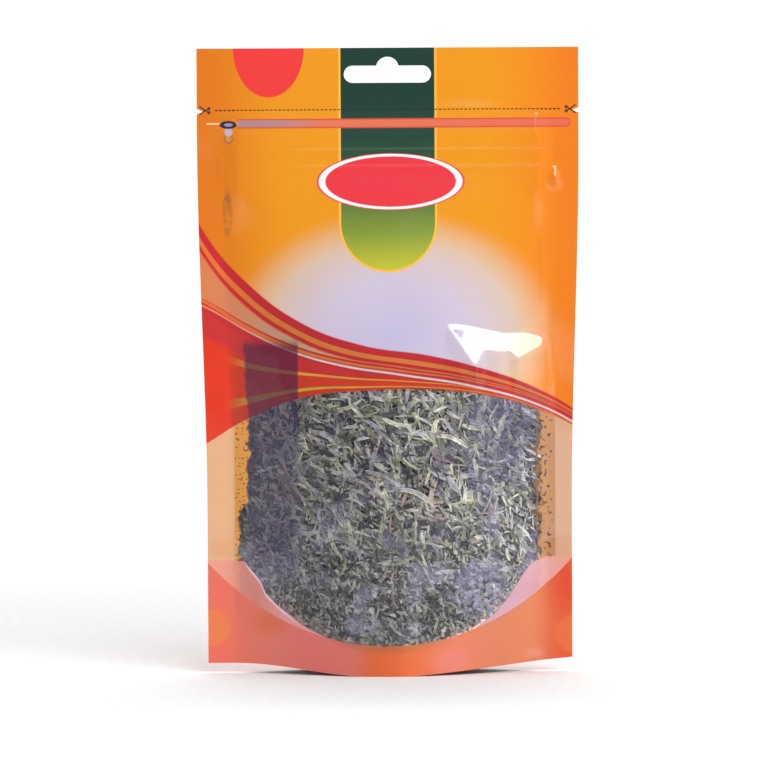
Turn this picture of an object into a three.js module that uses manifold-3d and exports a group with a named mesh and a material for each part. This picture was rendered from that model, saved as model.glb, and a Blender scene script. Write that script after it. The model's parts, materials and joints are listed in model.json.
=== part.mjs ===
// A closed stand-up pouch of dried chives: two film panels sealed together at the sides and along the
// header, a folded bottom gusset, a press-to-close zip and the loose fill of chopped leaves.
// Millimetres, +Z up. The front faces -Y. The origin is under the middle of the base.
import * as THREE from 'three';
import { mergeVertices } from 'three/addons/utils/BufferGeometryUtils.js';
import Module from 'manifold-3d';

const wasm = await Module();
wasm.setup();

// ---- Driving dimensions ----
const WIDTH = 140;
const HEIGHT = 230;
const FILM = 0.4;                    // film and every other web, drawn thicker than real laminate
const GAP = 0.15;                    // clearance between welded webs that are curved
const SIDE_SEAL = 9.5;
const HEADER_SEAL_Z = 207;           // lower edge of the flat top seal
const BASE_NARROWING = 2.9;          // each side seal draws in by this much where the pouch is fullest
const HALF_DEPTH = 17;               // swell of each panel at its fullest
const CORNER_LIFT = { left: 4.3, right: 5.2 };
const REST_HALF_WIDTH = 12;          // the bottom edges touch the table between -this and +this

const GUSSET_TOP_Z = 41.5;           // where the gusset's fold meets the side seals
const GUSSET_SEAL_LOW_Z = 7;         // lowest point of the curved seal of gusset to panel
const SEAL_CURVE_POWER = 2.2;
const FOLD_STIFFNESS = 0.985;        // height of the creased fold, over that of a sharp one
const FOLD_POINT = 1.85;             // 1 is a round arch and 2 is a straight-sided one

const ZIP_Z = 191;
const ZIP_TAPE = 13;                 // height of each strip
const ZIP_HALF_LENGTH = 54.5;
const ZIP_LIFT = 1.6;                // each panel stands this far from the middle plane at the zip
const RIB = { reach: 0.6, thick: 0.6, pitch: 2.4, tongue: 0.9 };

const SLOT = { width: 32, height: 6.3, z: 220.3, bump_r: 4.2, bump_z: 222.5 };
const NOTCH = { z: 206.9, height: 2.9, depth: 2.2 };

const FILL_TOP_Z = 121;
const FILL_HEAP = 2;                 // the fill's top is this much higher in the middle
const FILL_HALF_WIDTH = 57;
const FILL_CLEAR = 0.35;             // between the leaves and the film
const CORE_INSET = 1.8;              // the core lies this far inside the leaf layer's outer face
const LEAF = { length: [9, 15], width: [2.2, 3.8], thick: 0.8, curl: [0.4, 1.5] };
const CRUMB_R = [1.3, 2.1];
const SEED = 7;

// ---- Small helpers ----
const smooth = (from, to, value) => THREE.MathUtils.smoothstep(value, from, to);
const mix = THREE.MathUtils.lerp;

function seededRandom(seed) {
  let state = seed;
  return () => {
    state = (state * 1664525 + 1013904223) % 4294967296;
    return state / 4294967296;
  };
}

// A loft through ribbon-shaped sections. Each section is two equally long rows of points, one per face.
function ribbonLoft(sections) {
  const count = sections[0].a.length;
  const ring = 2 * count;
  const points = sections.flatMap(({ a, b }) => [...a, ...[...b].reverse()]);
  const faces = [];
  for (let s = 0; s + 1 < sections.length; s += 1) {
    for (let k = 0; k < ring; k += 1) {
      const here = s * ring + k;
      const next = s * ring + (k + 1) % ring;
      faces.push(here, next, next + ring, here, next + ring, here + ring);
    }
  }
  const last = (sections.length - 1) * ring;
  for (let k = 0; k + 1 < count; k += 1) {
    const back = ring - 1 - k;
    faces.push(k, back, k + 1, k + 1, back, back - 1);
    faces.push(last + k, last + k + 1, last + back, last + k + 1, last + back - 1, last + back);
  }
  const geometry = new THREE.BufferGeometry().setFromPoints(points);
  geometry.setIndex(faces);
  return facingOut(geometry);
}

function signedVolume(geometry) {
  const place = geometry.getAttribute('position');
  const [p, q, r] = [new THREE.Vector3(), new THREE.Vector3(), new THREE.Vector3()];
  let volume = 0;
  for (let k = 0; k < geometry.index.count; k += 3) {
    p.fromBufferAttribute(place, geometry.index.getX(k));
    q.fromBufferAttribute(place, geometry.index.getX(k + 1));
    r.fromBufferAttribute(place, geometry.index.getX(k + 2));
    volume += p.dot(q.cross(r)) / 6;
  }
  return volume;
}

function facingOut(geometry) {
  if (signedVolume(geometry) < 0) {
    geometry.setIndex([...geometry.index.array].reverse());
  }
  return geometry;
}

function toSolid(geometry) {
  const plain = geometry.clone();
  plain.deleteAttribute('normal');
  plain.deleteAttribute('uv');
  const merged = mergeVertices(plain, 1e-5);
  const vertProperties = Float32Array.from(merged.getAttribute('position').array);
  const triVerts = Uint32Array.from(merged.index.array);
  return new wasm.Manifold(new wasm.Mesh({ numProp: 3, vertProperties, triVerts }));
}

function toGeometry(solid) {
  const mesh = solid.getMesh();
  const geometry = new THREE.BufferGeometry();
  geometry.setAttribute('position', new THREE.BufferAttribute(mesh.vertProperties, 3));
  geometry.setIndex(new THREE.BufferAttribute(mesh.triVerts, 1));
  return geometry;
}

// ---- The pouch's form ----
// The outline draws in below the zip, because the same width of film also swells out.
const halfWidth = (z) => WIDTH / 2 - BASE_NARROWING * (1 - smooth(60, 196, z));
const innerHalfWidth = (z) => halfWidth(z) - SIDE_SEAL;

// How far a panel's inner face stands from the middle plane, at x and z.
function panelReach(x, z) {
  const across = Math.min(Math.abs(x) / innerHalfWidth(z), 1);
  const tapeLow = ZIP_Z - ZIP_TAPE / 2;
  const tapeHigh = ZIP_Z + ZIP_TAPE / 2;
  const zipBand = smooth(tapeLow - 28, tapeLow, z) * (1 - smooth(tapeHigh + 1, HEADER_SEAL_Z, z));
  const zipSwell = ZIP_LIFT * zipBand * (1 - smooth(ZIP_HALF_LENGTH + 0.5, innerHalfWidth(z), Math.abs(x)));
  const down = THREE.MathUtils.clamp((tapeLow - z) / (tapeLow - 55), 0, 1);
  const fullness = Math.sin(down * Math.PI / 2) ** 0.85;
  const roundness = mix(1.5, 1, smooth(0, GUSSET_TOP_Z, z));
  const swell = HALF_DEPTH * fullness * (1 - across ** 2) ** roundness;
  const legs = (FILM + 1.5 * GAP) * smooth(0.6, 0.9, across);
  return zipSwell + swell + legs * (1 - smooth(GUSSET_TOP_Z + 0.8, GUSSET_TOP_Z + 8, z));
}

// The bottom corners stand a little off the table.
function cornerLift(x) {
  const lift = x < 0 ? CORNER_LIFT.left : CORNER_LIFT.right;
  const beyondFoot = Math.max(0, Math.abs(x) - REST_HALF_WIDTH);
  return lift * (beyondFoot / (WIDTH / 2 - 4 - REST_HALF_WIDTH)) ** 1.5;
}
const liftedZ = (x, z) => z + cornerLift(x) * Math.max(0, 1 - z / GUSSET_TOP_Z);

// Columns close up towards the side seals, where the film turns most.
const COLUMNS = 22;
const columnShares = (count) => Array.from(
  { length: count + 1 }, (_, k) => Math.sin((k / count - 0.5) * Math.PI));

function columnXs(z, edge = halfWidth(z), count = COLUMNS) {
  const inner = columnShares(count).map((share) => share * innerHalfWidth(z));
  return [-edge, ...inner, edge];
}

const panelRows = [
  0, 2.5, 5, 8, 12, 17, 23, 30, 36, GUSSET_TOP_Z + 0.8, GUSSET_TOP_Z + 8, 58, 67, 78, 90, 102, 114, 126,
  138, 148, 157, 165, 172, 178, ZIP_Z - ZIP_TAPE / 2, ZIP_Z + ZIP_TAPE / 2 + 1, 202, HEADER_SEAL_Z, HEIGHT,
];

function panelGeometry(side) {
  const sections = panelRows.map((z) => {
    const xs = columnXs(z);
    const row = (outwards) => xs.map((x) => new THREE.Vector3(
      x, side * (panelReach(x, z) + outwards), liftedZ(x, z)));
    return { a: row(0), b: row(FILM) };
  });
  return ribbonLoft(sections);
}

// ---- Holes through the header ----
function throughHeader(shape) {
  const geometry = new THREE.ExtrudeGeometry(shape, { depth: 8, bevelEnabled: false, curveSegments: 10 });
  return toSolid(geometry.translate(0, 0, -4).rotateX(Math.PI / 2));
}

function slotCutter() {
  const end = SLOT.height / 2;
  const reach = SLOT.width / 2 - end;
  const slot = new THREE.Shape();
  slot.moveTo(-reach, SLOT.z - end);
  slot.lineTo(reach, SLOT.z - end);
  slot.absarc(reach, SLOT.z, end, -Math.PI / 2, Math.PI / 2);
  slot.lineTo(-reach, SLOT.z + end);
  slot.absarc(-reach, SLOT.z, end, Math.PI / 2, 1.5 * Math.PI);
  const bump = new THREE.Shape();
  bump.absarc(0, SLOT.bump_z, SLOT.bump_r, 0, 2 * Math.PI);
  return throughHeader(slot).add(throughHeader(bump));
}

function notchCutter(side) {
  const edge = side * WIDTH / 2;
  const notch = new THREE.Shape([
    new THREE.Vector2(edge + side, NOTCH.z - NOTCH.height / 2),
    new THREE.Vector2(edge - side * NOTCH.depth, NOTCH.z),
    new THREE.Vector2(edge + side, NOTCH.z + NOTCH.height / 2),
  ]);
  return throughHeader(notch);
}

const headerCuts = slotCutter().add(notchCutter(-1)).add(notchCutter(1));
const cutPanel = (side) => toGeometry(toSolid(panelGeometry(side)).subtract(headerCuts));

// ---- Bottom gusset ----
// The curved seal climbs from the middle of the base to the fold's height at each side.
function gussetSealZ(x) {
  const across = Math.min(Math.abs(x) / innerHalfWidth(0), 1);
  return mix(GUSSET_SEAL_LOW_Z, GUSSET_TOP_Z - 0.6, across ** SEAL_CURVE_POWER);
}

// The arch that the web makes between the two seals: its half span, its height and how pointed it is.
function gussetArch(x) {
  const sealZ = gussetSealZ(x);
  const span = panelReach(x, sealZ) - GAP - FILM / 2;
  const leg = GUSSET_TOP_Z - sealZ;
  const sharp = Math.sqrt(Math.max(leg ** 2 - span ** 2, 0));
  const stiff = mix(1, FOLD_STIFFNESS, smooth(0, HALF_DEPTH, span));
  return { sealZ, span, height: Math.max(sharp * stiff, 0.5), point: mix(1, FOLD_POINT, smooth(1, 6, span)) };
}

function archPoint({ sealZ, span, height, point }, turn) {
  const across = Math.cos(turn);
  return new THREE.Vector2(
    -span * Math.sign(across) * Math.abs(across) ** point, sealZ + height * Math.sin(turn) ** point);
}

const WELD_ROWS = 5;
const ARCH_STEPS = 14;

function gussetPath(x) {
  const arch = gussetArch(x);
  const weld = Array.from({ length: WELD_ROWS }, (_, k) => {
    const z = arch.sealZ * k / WELD_ROWS;
    return new THREE.Vector2(-(panelReach(x, z) - GAP - FILM / 2), liftedZ(x, z));
  });
  const over = Array.from({ length: ARCH_STEPS + 1 }, (_, k) => {
    const point = archPoint(arch, Math.PI * k / ARCH_STEPS);
    return new THREE.Vector2(point.x, liftedZ(x, point.y));
  });
  const mirrored = [...weld].reverse().map((point) => new THREE.Vector2(-point.x, point.y));
  return [...weld, ...over, ...mirrored];
}

// The web's two faces are the path moved half a film's thickness each way.
function gussetSection(x) {
  const path = gussetPath(x);
  const face = (offset) => path.map((point, k) => {
    const ahead = path[Math.min(k + 1, path.length - 1)];
    const behind = path[Math.max(k - 1, 0)];
    const along = ahead.clone().sub(behind).normalize();
    return new THREE.Vector3(x, point.x - along.y * offset, point.y + along.x * offset);
  });
  return { a: face(FILM / 2), b: face(-FILM / 2) };
}

const gussetGeometry = () => ribbonLoft(columnXs(0, halfWidth(0) - 0.4).map(gussetSection));

// ---- Zip ----
function zipGeometry(side, ribZs, ribThick) {
  const foot = side * (ZIP_LIFT - GAP);
  const top = side * (ZIP_LIFT - GAP - FILM);
  const tip = -side * RIB.reach;
  const low = ZIP_Z - ZIP_TAPE / 2;
  const high = ZIP_Z + ZIP_TAPE / 2;
  const outline = [new THREE.Vector2(foot, low), new THREE.Vector2(top, low)];
  for (const z of ribZs) {
    outline.push(
      new THREE.Vector2(top, z - ribThick / 2), new THREE.Vector2(tip, z - ribThick / 2),
      new THREE.Vector2(tip, z + ribThick / 2), new THREE.Vector2(top, z + ribThick / 2));
  }
  outline.push(new THREE.Vector2(top, high), new THREE.Vector2(foot, high));
  const depth = 2 * ZIP_HALF_LENGTH;
  const strip = new THREE.ExtrudeGeometry(new THREE.Shape(outline), { depth, bevelEnabled: false });
  // The outline is drawn in Y and Z and run along X.
  const turned = new THREE.Matrix4().makeBasis(
    new THREE.Vector3(0, 1, 0), new THREE.Vector3(0, 0, 1), new THREE.Vector3(1, 0, 0));
  return strip.translate(0, 0, -ZIP_HALF_LENGTH).applyMatrix4(turned);
}

// ---- Dried chives ----
const fillTopZ = (x) => FILL_TOP_Z + FILL_HEAP * Math.cos(x * Math.PI / (2 * FILL_HALF_WIDTH));
const FILL_COLUMNS = 10;
const FILL_ROWS = 7;
const FILL_LOW_Z = 8;

// The space between the panels, kept clear of them by an inset.
function betweenPanels(inset) {
  const shares = Array.from({ length: FILL_ROWS + 1 }, (_, k) => k / FILL_ROWS);
  const xs = columnShares(FILL_COLUMNS).map((share) => share * (FILL_HALF_WIDTH - inset));
  const sections = shares.map((share) => {
    const row = (side) => xs.map((x) => {
      const z = mix(FILL_LOW_Z + inset, fillTopZ(x) - inset, share);
      return new THREE.Vector3(x, side * Math.max(panelReach(x, z) - inset, 0.3), z);
    });
    return { a: row(-1), b: row(1) };
  });
  return toSolid(ribbonLoft(sections));
}

// The space under the gusset's web, widened by a margin.
function underGusset(margin) {
  const sections = columnXs(0, halfWidth(0), FILL_COLUMNS).map((x) => {
    const arch = gussetArch(x);
    const wide = { ...arch, span: arch.span + margin, height: arch.height + margin };
    const half = ARCH_STEPS / 2;
    const leg = (side) => Array.from({ length: half + 2 }, (_, k) => {
      if (k === 0) {
        return new THREE.Vector3(x, side * wide.span, -5);
      }
      const point = archPoint(wide, Math.PI * (k - 1) / ARCH_STEPS);
      const meeting = k === half + 1 ? side * 0.01 : -side * point.x;
      return new THREE.Vector3(x, meeting, point.y);
    });
    return { a: leg(-1), b: leg(1) };
  });
  return toSolid(ribbonLoft(sections));
}

const fillSpace = (inset) => betweenPanels(FILL_CLEAR + inset)
  .subtract(underGusset(FILM / 2 + FILL_CLEAR + inset));

// A place on the core's face with its outward direction.
function corePlace(x, z, side) {
  const reach = (px, pz) => side * (panelReach(px, pz) - FILL_CLEAR - CORE_INSET);
  const acrossX = new THREE.Vector3(2, reach(x + 1, z) - reach(x - 1, z), 0);
  const acrossZ = new THREE.Vector3(0, reach(x, z + 1) - reach(x, z - 1), 2);
  const out = acrossX.cross(acrossZ).normalize();
  if (out.y * side < 0) {
    out.negate();
  }
  return { point: new THREE.Vector3(x, reach(x, z), z), out };
}

// A leaf piece: a flat strip with narrow ends, curled away from the core.
function leafPiece(length, width, curl) {
  const sections = [-0.5, 0, 0.5].map((share) => {
    const half = width * (share === 0 ? 0.5 : 0.28);
    const rise = curl * 4 * share ** 2;
    const row = (z) => [-half, half].map((y) => new THREE.Vector3(share * length, y, z + rise));
    return { a: row(-LEAF.thick / 2), b: row(LEAF.thick / 2) };
  });
  return ribbonLoft(sections);
}

function layOn(geometry, { point, out }, spin, tip, sink) {
  const face = new THREE.Quaternion().setFromUnitVectors(new THREE.Vector3(0, 0, 1), out);
  const turn = new THREE.Quaternion().setFromAxisAngle(new THREE.Vector3(0, 0, 1), spin);
  const rock = new THREE.Quaternion().setFromAxisAngle(new THREE.Vector3(1, 0, 0), tip);
  const place = point.clone().addScaledVector(out, -sink);
  const matrix = new THREE.Matrix4().compose(
    place, face.multiply(turn).multiply(rock), new THREE.Vector3(1, 1, 1));
  return geometry.applyMatrix4(matrix);
}

// Larger leaf pieces lie above the line where the fine crumbs end.
const LEAF_LOW_Z = 62;
const CRUMB_LOW_Z = 22;
const LEAF_HALF_SPREAD = 50;
const LEAF_COLUMNS = 9;
const LEAF_ROWS = 6;
const CRUMB_COLUMNS = 9;
const CRUMB_ROWS = 4;

function scattered(columns, rows, lowZ, highZ, random, make) {
  const pieces = [];
  for (let row = 0; row < rows; row += 1) {
    for (let column = 0; column < columns; column += 1) {
      const x = mix(-LEAF_HALF_SPREAD, LEAF_HALF_SPREAD, (column + 0.15 + 0.7 * random()) / columns);
      const z = mix(lowZ, highZ, (row + 0.15 + 0.7 * random()) / rows);
      pieces.push(make(x, z));
    }
  }
  return pieces;
}

function chivePieces(side, random) {
  const between = ([low, high]) => mix(low, high, random());
  const leaves = scattered(LEAF_COLUMNS, LEAF_ROWS, LEAF_LOW_Z, FILL_TOP_Z - 5, random, (x, z) => {
    const leaf = leafPiece(between(LEAF.length), between(LEAF.width), between(LEAF.curl));
    return layOn(leaf, corePlace(x, z, side), random() * Math.PI, (random() - 0.5) * 0.6, 0.15);
  });
  const crumbs = scattered(CRUMB_COLUMNS, CRUMB_ROWS, CRUMB_LOW_Z, LEAF_LOW_Z, random, (x, z) => {
    const low = gussetSealZ(x) + 8;
    const crumb = new THREE.OctahedronGeometry(between(CRUMB_R)).scale(1.3, 0.9, 0.8);
    return layOn(crumb, corePlace(x, Math.max(z, low), side), random() * Math.PI, random(), -0.3);
  });
  return [...leaves, ...crumbs];
}

function chivesGeometry() {
  const random = seededRandom(SEED);
  const pieces = [...chivePieces(-1, random), ...chivePieces(1, random)].map(toSolid);
  const joined = wasm.Manifold.union([fillSpace(CORE_INSET), ...pieces]);
  const bodies = joined.intersect(fillSpace(0)).decompose();
  bodies.sort((one, other) => other.volume() - one.volume());
  return toGeometry(bodies[0]);
}

// ---- Assembly ----
const FINISHES = {
  front_film: { color: 0xf08a2a, roughness: 0.25, metalness: 0 },
  back_film: { color: 0xf3942b, roughness: 0.28, metalness: 0 },
  gusset_film: { color: 0xe8a08a, roughness: 0.3, metalness: 0 },
  zip_plastic: { color: 0xf2ece4, roughness: 0.35, metalness: 0 },
  chive_leaf: { color: 0x6f7358, roughness: 0.85, metalness: 0 },
};

const pouch = new THREE.Group();

function addPiece(name, geometry, finish) {
  const piece = new THREE.Mesh(geometry, new THREE.MeshStandardMaterial(FINISHES[finish]));
  piece.name = name;
  pouch.add(piece);
}

addPiece('front_panel', cutPanel(-1), 'front_film');
addPiece('back_panel', cutPanel(1), 'back_film');
addPiece('bottom_gusset', gussetGeometry(), 'gusset_film');
addPiece('zip_strip_front', zipGeometry(-1, [ZIP_Z - RIB.pitch / 2, ZIP_Z + RIB.pitch / 2], RIB.thick),
  'zip_plastic');
addPiece('zip_strip_back', zipGeometry(1, [ZIP_Z], RIB.tongue), 'zip_plastic');
addPiece('dried_chives', chivesGeometry(), 'chive_leaf');

export default pouch;
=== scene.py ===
# %% [markdown]
# # A stand-up pouch of dried chives
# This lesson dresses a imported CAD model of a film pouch. The CAD model says how wide, tall and deep the
# pouch is. Here the film becomes thin and glossy, its print is drawn with nodes, and the loose fill
# becomes thousands of small leaf pieces. The frame is loaded first, because its box gives the pouch's size.

# %% Load the frame
import json
import math

import bmesh
import bpy
import numpy as np
from mathutils import Matrix, Vector

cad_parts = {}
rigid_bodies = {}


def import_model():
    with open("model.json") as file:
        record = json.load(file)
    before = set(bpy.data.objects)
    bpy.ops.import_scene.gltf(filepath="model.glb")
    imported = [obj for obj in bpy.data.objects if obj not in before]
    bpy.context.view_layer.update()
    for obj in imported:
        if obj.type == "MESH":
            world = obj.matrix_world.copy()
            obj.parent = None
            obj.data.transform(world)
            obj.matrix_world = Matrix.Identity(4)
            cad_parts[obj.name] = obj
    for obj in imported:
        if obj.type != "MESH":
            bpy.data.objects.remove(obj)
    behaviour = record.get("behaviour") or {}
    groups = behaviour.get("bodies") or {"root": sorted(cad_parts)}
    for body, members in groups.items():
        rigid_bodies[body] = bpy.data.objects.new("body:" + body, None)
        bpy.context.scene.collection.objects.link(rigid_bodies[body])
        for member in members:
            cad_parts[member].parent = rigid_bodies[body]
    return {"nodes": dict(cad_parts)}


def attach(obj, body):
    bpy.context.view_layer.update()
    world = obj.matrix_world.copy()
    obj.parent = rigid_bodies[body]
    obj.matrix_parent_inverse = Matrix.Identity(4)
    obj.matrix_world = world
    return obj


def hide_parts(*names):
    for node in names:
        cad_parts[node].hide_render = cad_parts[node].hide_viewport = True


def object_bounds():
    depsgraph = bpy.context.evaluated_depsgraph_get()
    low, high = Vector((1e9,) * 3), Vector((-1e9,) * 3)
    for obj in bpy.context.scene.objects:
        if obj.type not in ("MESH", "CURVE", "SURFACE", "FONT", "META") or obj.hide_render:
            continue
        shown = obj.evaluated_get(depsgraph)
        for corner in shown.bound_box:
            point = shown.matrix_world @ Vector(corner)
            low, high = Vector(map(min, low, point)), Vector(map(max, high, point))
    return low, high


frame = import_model()
cad_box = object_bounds()
print("nodes:", sorted(frame["nodes"]))

# %% [markdown]
# ## Sizes
# The formulas below are in millimetres, as a packaging drawing is, and a mesh is scaled to metres when it
# is made. The pouch's width and height are read from the CAD box, so that they can't drift apart.

# %% Driving sizes
MM = 0.001
WIDTH = (cad_box[1][0] - cad_box[0][0]) / MM
HEIGHT = (cad_box[1][2] - cad_box[0][2]) / MM
FILM = 0.14                      # laminate thickness
SIDE_SEAL = 9.5
HEADER_SEAL_Z = 207.0
BASE_NARROWING = 2.9
HALF_DEPTH = 17.0
CORNER_LIFT = (3.7, 5.2)         # left and right
GUSSET_TOP_Z = 41.5
GUSSET_SEAL_LOW_Z = 7.0
SEAL_CURVE_POWER = 2.2
ZIP_Z, ZIP_TAPE, ZIP_LIFT, ZIP_HALF_LENGTH = 191.0, 13.0, 1.6, 54.5
SEALED_GAP = 0.55                # room for the gusset's legs, between the side seals' films
FILL_TOP_Z = 122.0
print(f"pouch {WIDTH:.1f} x {HEIGHT:.1f} mm")

# %% [markdown]
# ## Small helpers
# A few short functions serve the whole lesson. One turns an sRGB hex colour to Blender's linear values, and
# one adds any node with its settings and links. One starts a bare material, and the rest make and measure
# meshes in millimetres.

# %% Colour and node helpers
def linear(colour):
    channels = [int(colour[k:k + 2], 16) / 255 for k in (1, 3, 5)]
    return tuple(c / 12.92 if c <= 0.04045 else ((c + 0.055) / 1.055) ** 2.4 for c in channels) + (1.0,)


# The wires are links or values. They come in the order of the node's sockets, or in a dict by a socket's
# name or number. A colour ramp also takes its stops.
def add(tree, kind, wires=(), stops=(), **settings):
    node = tree.nodes.new(kind)
    for name, value in settings.items():
        setattr(node, name, value)
    wires = wires if isinstance(wires, dict) else dict(enumerate(wires))
    for socket, value in wires.items():
        if isinstance(value, bpy.types.NodeSocket):
            tree.links.new(value, node.inputs[socket])
        else:
            node.inputs[socket].default_value = value
    for k, (place, colour) in enumerate(stops):
        elements = node.color_ramp.elements
        element = elements[k] if k < 2 else elements.new(place)
        element.position, element.color = place, linear(colour)
    return node


print("node helper ready")

# %% Materials
def new_material(name):
    material = bpy.data.materials.new(name)
    material.use_nodes = True
    material.node_tree.nodes.clear()
    return material, material.node_tree


print("material helper ready")


# %% Mesh helpers
def mesh_object(name, points, faces, material=None):
    mesh = bpy.data.meshes.new(name)
    mesh.from_pydata((np.asarray(points) * MM).tolist(), [], [tuple(map(int, face)) for face in faces])
    mesh.validate()
    piece = bpy.data.objects.new(name, mesh)
    bpy.context.scene.collection.objects.link(piece)
    if material:
        mesh.materials.append(material)
    return piece


# The mesh that an object has after its modifiers, with all its attributes.
def evaluated_mesh(piece):
    bpy.context.view_layer.update()
    graph = bpy.context.evaluated_depsgraph_get()
    finished = piece.evaluated_get(graph)
    return bpy.data.meshes.new_from_object(finished, preserve_all_data_layers=True, depsgraph=graph)


# A mesh's corners in millimetres, and the way back.
def corners_of(piece):
    points = np.empty(len(piece.data.vertices) * 3, np.float32)
    piece.data.vertices.foreach_get("co", points)
    return (points.reshape(-1, 3).astype(float) / MM).T


def move_corners(piece, x, y, z):
    points = np.stack([x, y, z], -1) * MM
    piece.data.vertices.foreach_set("co", points.ravel().astype(np.float32))
    piece.data.update()
    return piece


def smoothed(piece, angle=40):
    piece.data.shade_smooth()
    piece.data.set_sharp_from_angle(angle=math.radians(angle))
    return piece


def step(low, high, value):
    share = np.clip((np.asarray(value, float) - low) / (high - low), 0, 1)
    return share * share * (3 - 2 * share)


# The numbers of a grid's corners, and its faces.
def grid_faces(rows, columns):
    index = np.arange(rows * columns).reshape(rows, columns)
    corners = (index[:-1, :-1], index[:-1, 1:], index[1:, 1:], index[1:, :-1])
    return index, np.stack(corners, -1).reshape(-1, 4)


# A closed shell between two equal grids of points, with a rim all round.
def shell(outer, inner):
    index, quads = grid_faces(*outer.shape[:2])
    offset = index.size
    loop = np.concatenate([index[0, :-1], index[:-1, -1], index[-1, :0:-1], index[:0:-1, 0]])
    after = np.roll(loop, -1)
    rim = np.stack([after, loop, loop + offset, after + offset], -1)
    points = np.concatenate([outer.reshape(-1, 3), inner.reshape(-1, 3)])
    return points, np.concatenate([quads, quads[:, ::-1] + offset, rim])


print("helpers ready")

# %% [markdown]
# ## The pouch's form
# A filled pouch is a flat tube that swells: each panel is held flat in the side seals and bows out between
# them, and the outline draws in where the film swells. One formula gives how far a panel stands from the
# middle plane, so the film, the gusset and the fill all follow the same shape.

# %% Form of a panel
def half_width(z):
    return WIDTH / 2 - BASE_NARROWING * (1 - step(60, 196, z))


def inner_half_width(z):
    return half_width(z) - SIDE_SEAL


TAPE_LOW, TAPE_HIGH = ZIP_Z - ZIP_TAPE / 2, ZIP_Z + ZIP_TAPE / 2
TAPE_MARGIN = 0.5                # flat film kept round the zip's tape
ZIP_FADE = 28.0                  # the zip still holds the film apart this far below its tape
FULLEST_Z = 55.0
SOFT_START = 0.025               # the swell begins this gently under the zip
FULLNESS_POWER = 0.85            # below 1, the film swells early


# How far a panel stands off the middle plane: the zip's lift, the fill's swell and the gusset's legs.
def panel_reach(x, z):
    x, z = np.asarray(x, float), np.asarray(z, float)
    out, inner = np.abs(x), inner_half_width(z)
    across = np.clip(out / inner, 0, 1)
    above = np.clip((z - TAPE_HIGH - TAPE_MARGIN) / (HEADER_SEAL_Z - TAPE_HIGH - TAPE_MARGIN), 0, 1)
    zip_band = step(TAPE_LOW - ZIP_FADE, TAPE_LOW, z) * (1 - above)
    past_end = out - ZIP_HALF_LENGTH - TAPE_MARGIN
    zip_ends = 1 - np.clip(past_end / (inner - ZIP_HALF_LENGTH - TAPE_MARGIN), 0, 1)
    down = np.clip((TAPE_LOW - z) / (TAPE_LOW - FULLEST_Z), 0, 1)
    down = down ** 2 / (down + SOFT_START)
    fullness = np.sin(down * np.pi / 2) ** FULLNESS_POWER
    roundness = 1.5 - 0.5 * step(0, GUSSET_TOP_Z, z)
    swell = HALF_DEPTH * fullness * (1 - across ** 2) ** roundness
    above_gusset = step(GUSSET_TOP_Z + 0.8, GUSSET_TOP_Z + 8, z)
    legs = SEALED_GAP * step(0.6, 0.9, across) * (1 - above_gusset)
    return ZIP_LIFT * zip_band * zip_ends + swell + legs


# The filled base is a shallow arch, so its corners stand off the table. The left one rises in an S.
def lifted(x, z):
    out = np.abs(x)
    left, right = step(7, 53, out), np.clip((out - 6) / 60, 0, None) ** 1.15
    lift = np.where(np.asarray(x) < 0, CORNER_LIFT[0] * left, CORNER_LIFT[1] * right)
    return z + lift * np.clip(1 - np.asarray(z) / GUSSET_TOP_Z, 0, None)


# Near the seals the front film and the gusset stick together, so the fill ends above the welded curve.
FILL_FOOT = [
    (-75, 41.8), (-53.6, 41.6), (-51.3, 38.8), (-47.6, 34.5), (-45.8, 30), (-41.4, 25.6), (-32.3, 18.5),
    (-18, 11.2), (0, 8.6), (18, 10.8), (32, 17.4), (39.3, 23), (43, 27.4), (46.7, 32.8), (48.5, 36),
    (52.2, 40.6), (57.7, 42.6), (75, 42.8),
]


def fill_foot(x):
    return np.interp(x, *zip(*FILL_FOOT))


print(f"reach at the middle of the fill: {float(panel_reach(0, 70)):.1f} mm")

# %% [markdown]
# ## Creases and dents
# Laminate doesn't stretch, so a filled pouch shows soft dents over its empty part, small bumps where leaves
# press on it, and fine ripples beside its seals. They are real relief in the mesh, because a highlight on
# gloss follows the shape. Ripples are sums of plane waves with seeded directions.

# %% Relief of the film
FRONT_SEED, BACK_SEED = 11, 47
DENT, LEAF_BUMP, HEAP_BUMP = (34, 0.38), (9, 0.08), (24, 0.16)      # wavelength and height, in millimetres
ZIP_LINE_OFF, ZIP_LINE_WIDTH, ZIP_LINE_HEIGHT = 3.2, 0.7, 0.11     # the two ridges of the zip


def ripples(x, z, wavelength, seed, count=9):
    rng = np.random.default_rng(seed)
    total = np.zeros(np.broadcast(x, z).shape)
    for _ in range(count):
        angle, phase = rng.uniform(0, np.pi), rng.uniform(0, 2 * np.pi)
        pace = 2 * np.pi / (wavelength * rng.uniform(0.7, 1.5))
        total += np.sin(pace * (x * np.cos(angle) + z * np.sin(angle)) + phase)
    return total / math.sqrt(count)


def ridge(distance, width):
    return np.exp(-(distance / width) ** 2)


def film_relief(x, z, seed):
    across = np.clip(np.abs(x) / inner_half_width(z), 0, 1)
    pocket = step(0.02, 0.26, 1 - across) * step(4, 16, z)
    filled = 1 - step(FILL_TOP_Z - 6, FILL_TOP_Z + 6, z)
    slack = (1 - filled) * (1 - step(168, 183, z))
    dents, small, large = (height * ripples(x, z, wavelength, seed + k)
                           for k, (wavelength, height) in enumerate((DENT, LEAF_BUMP, HEAP_BUMP)))
    relief = pocket * (slack * dents + filled * (small + large))
    zip_lines = sum(ridge(z - ZIP_Z - off, ZIP_LINE_WIDTH) for off in (ZIP_LINE_OFF, -ZIP_LINE_OFF))
    return relief + ZIP_LINE_HEIGHT * zip_lines * step(0, 0.04, 1 - across)


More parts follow.
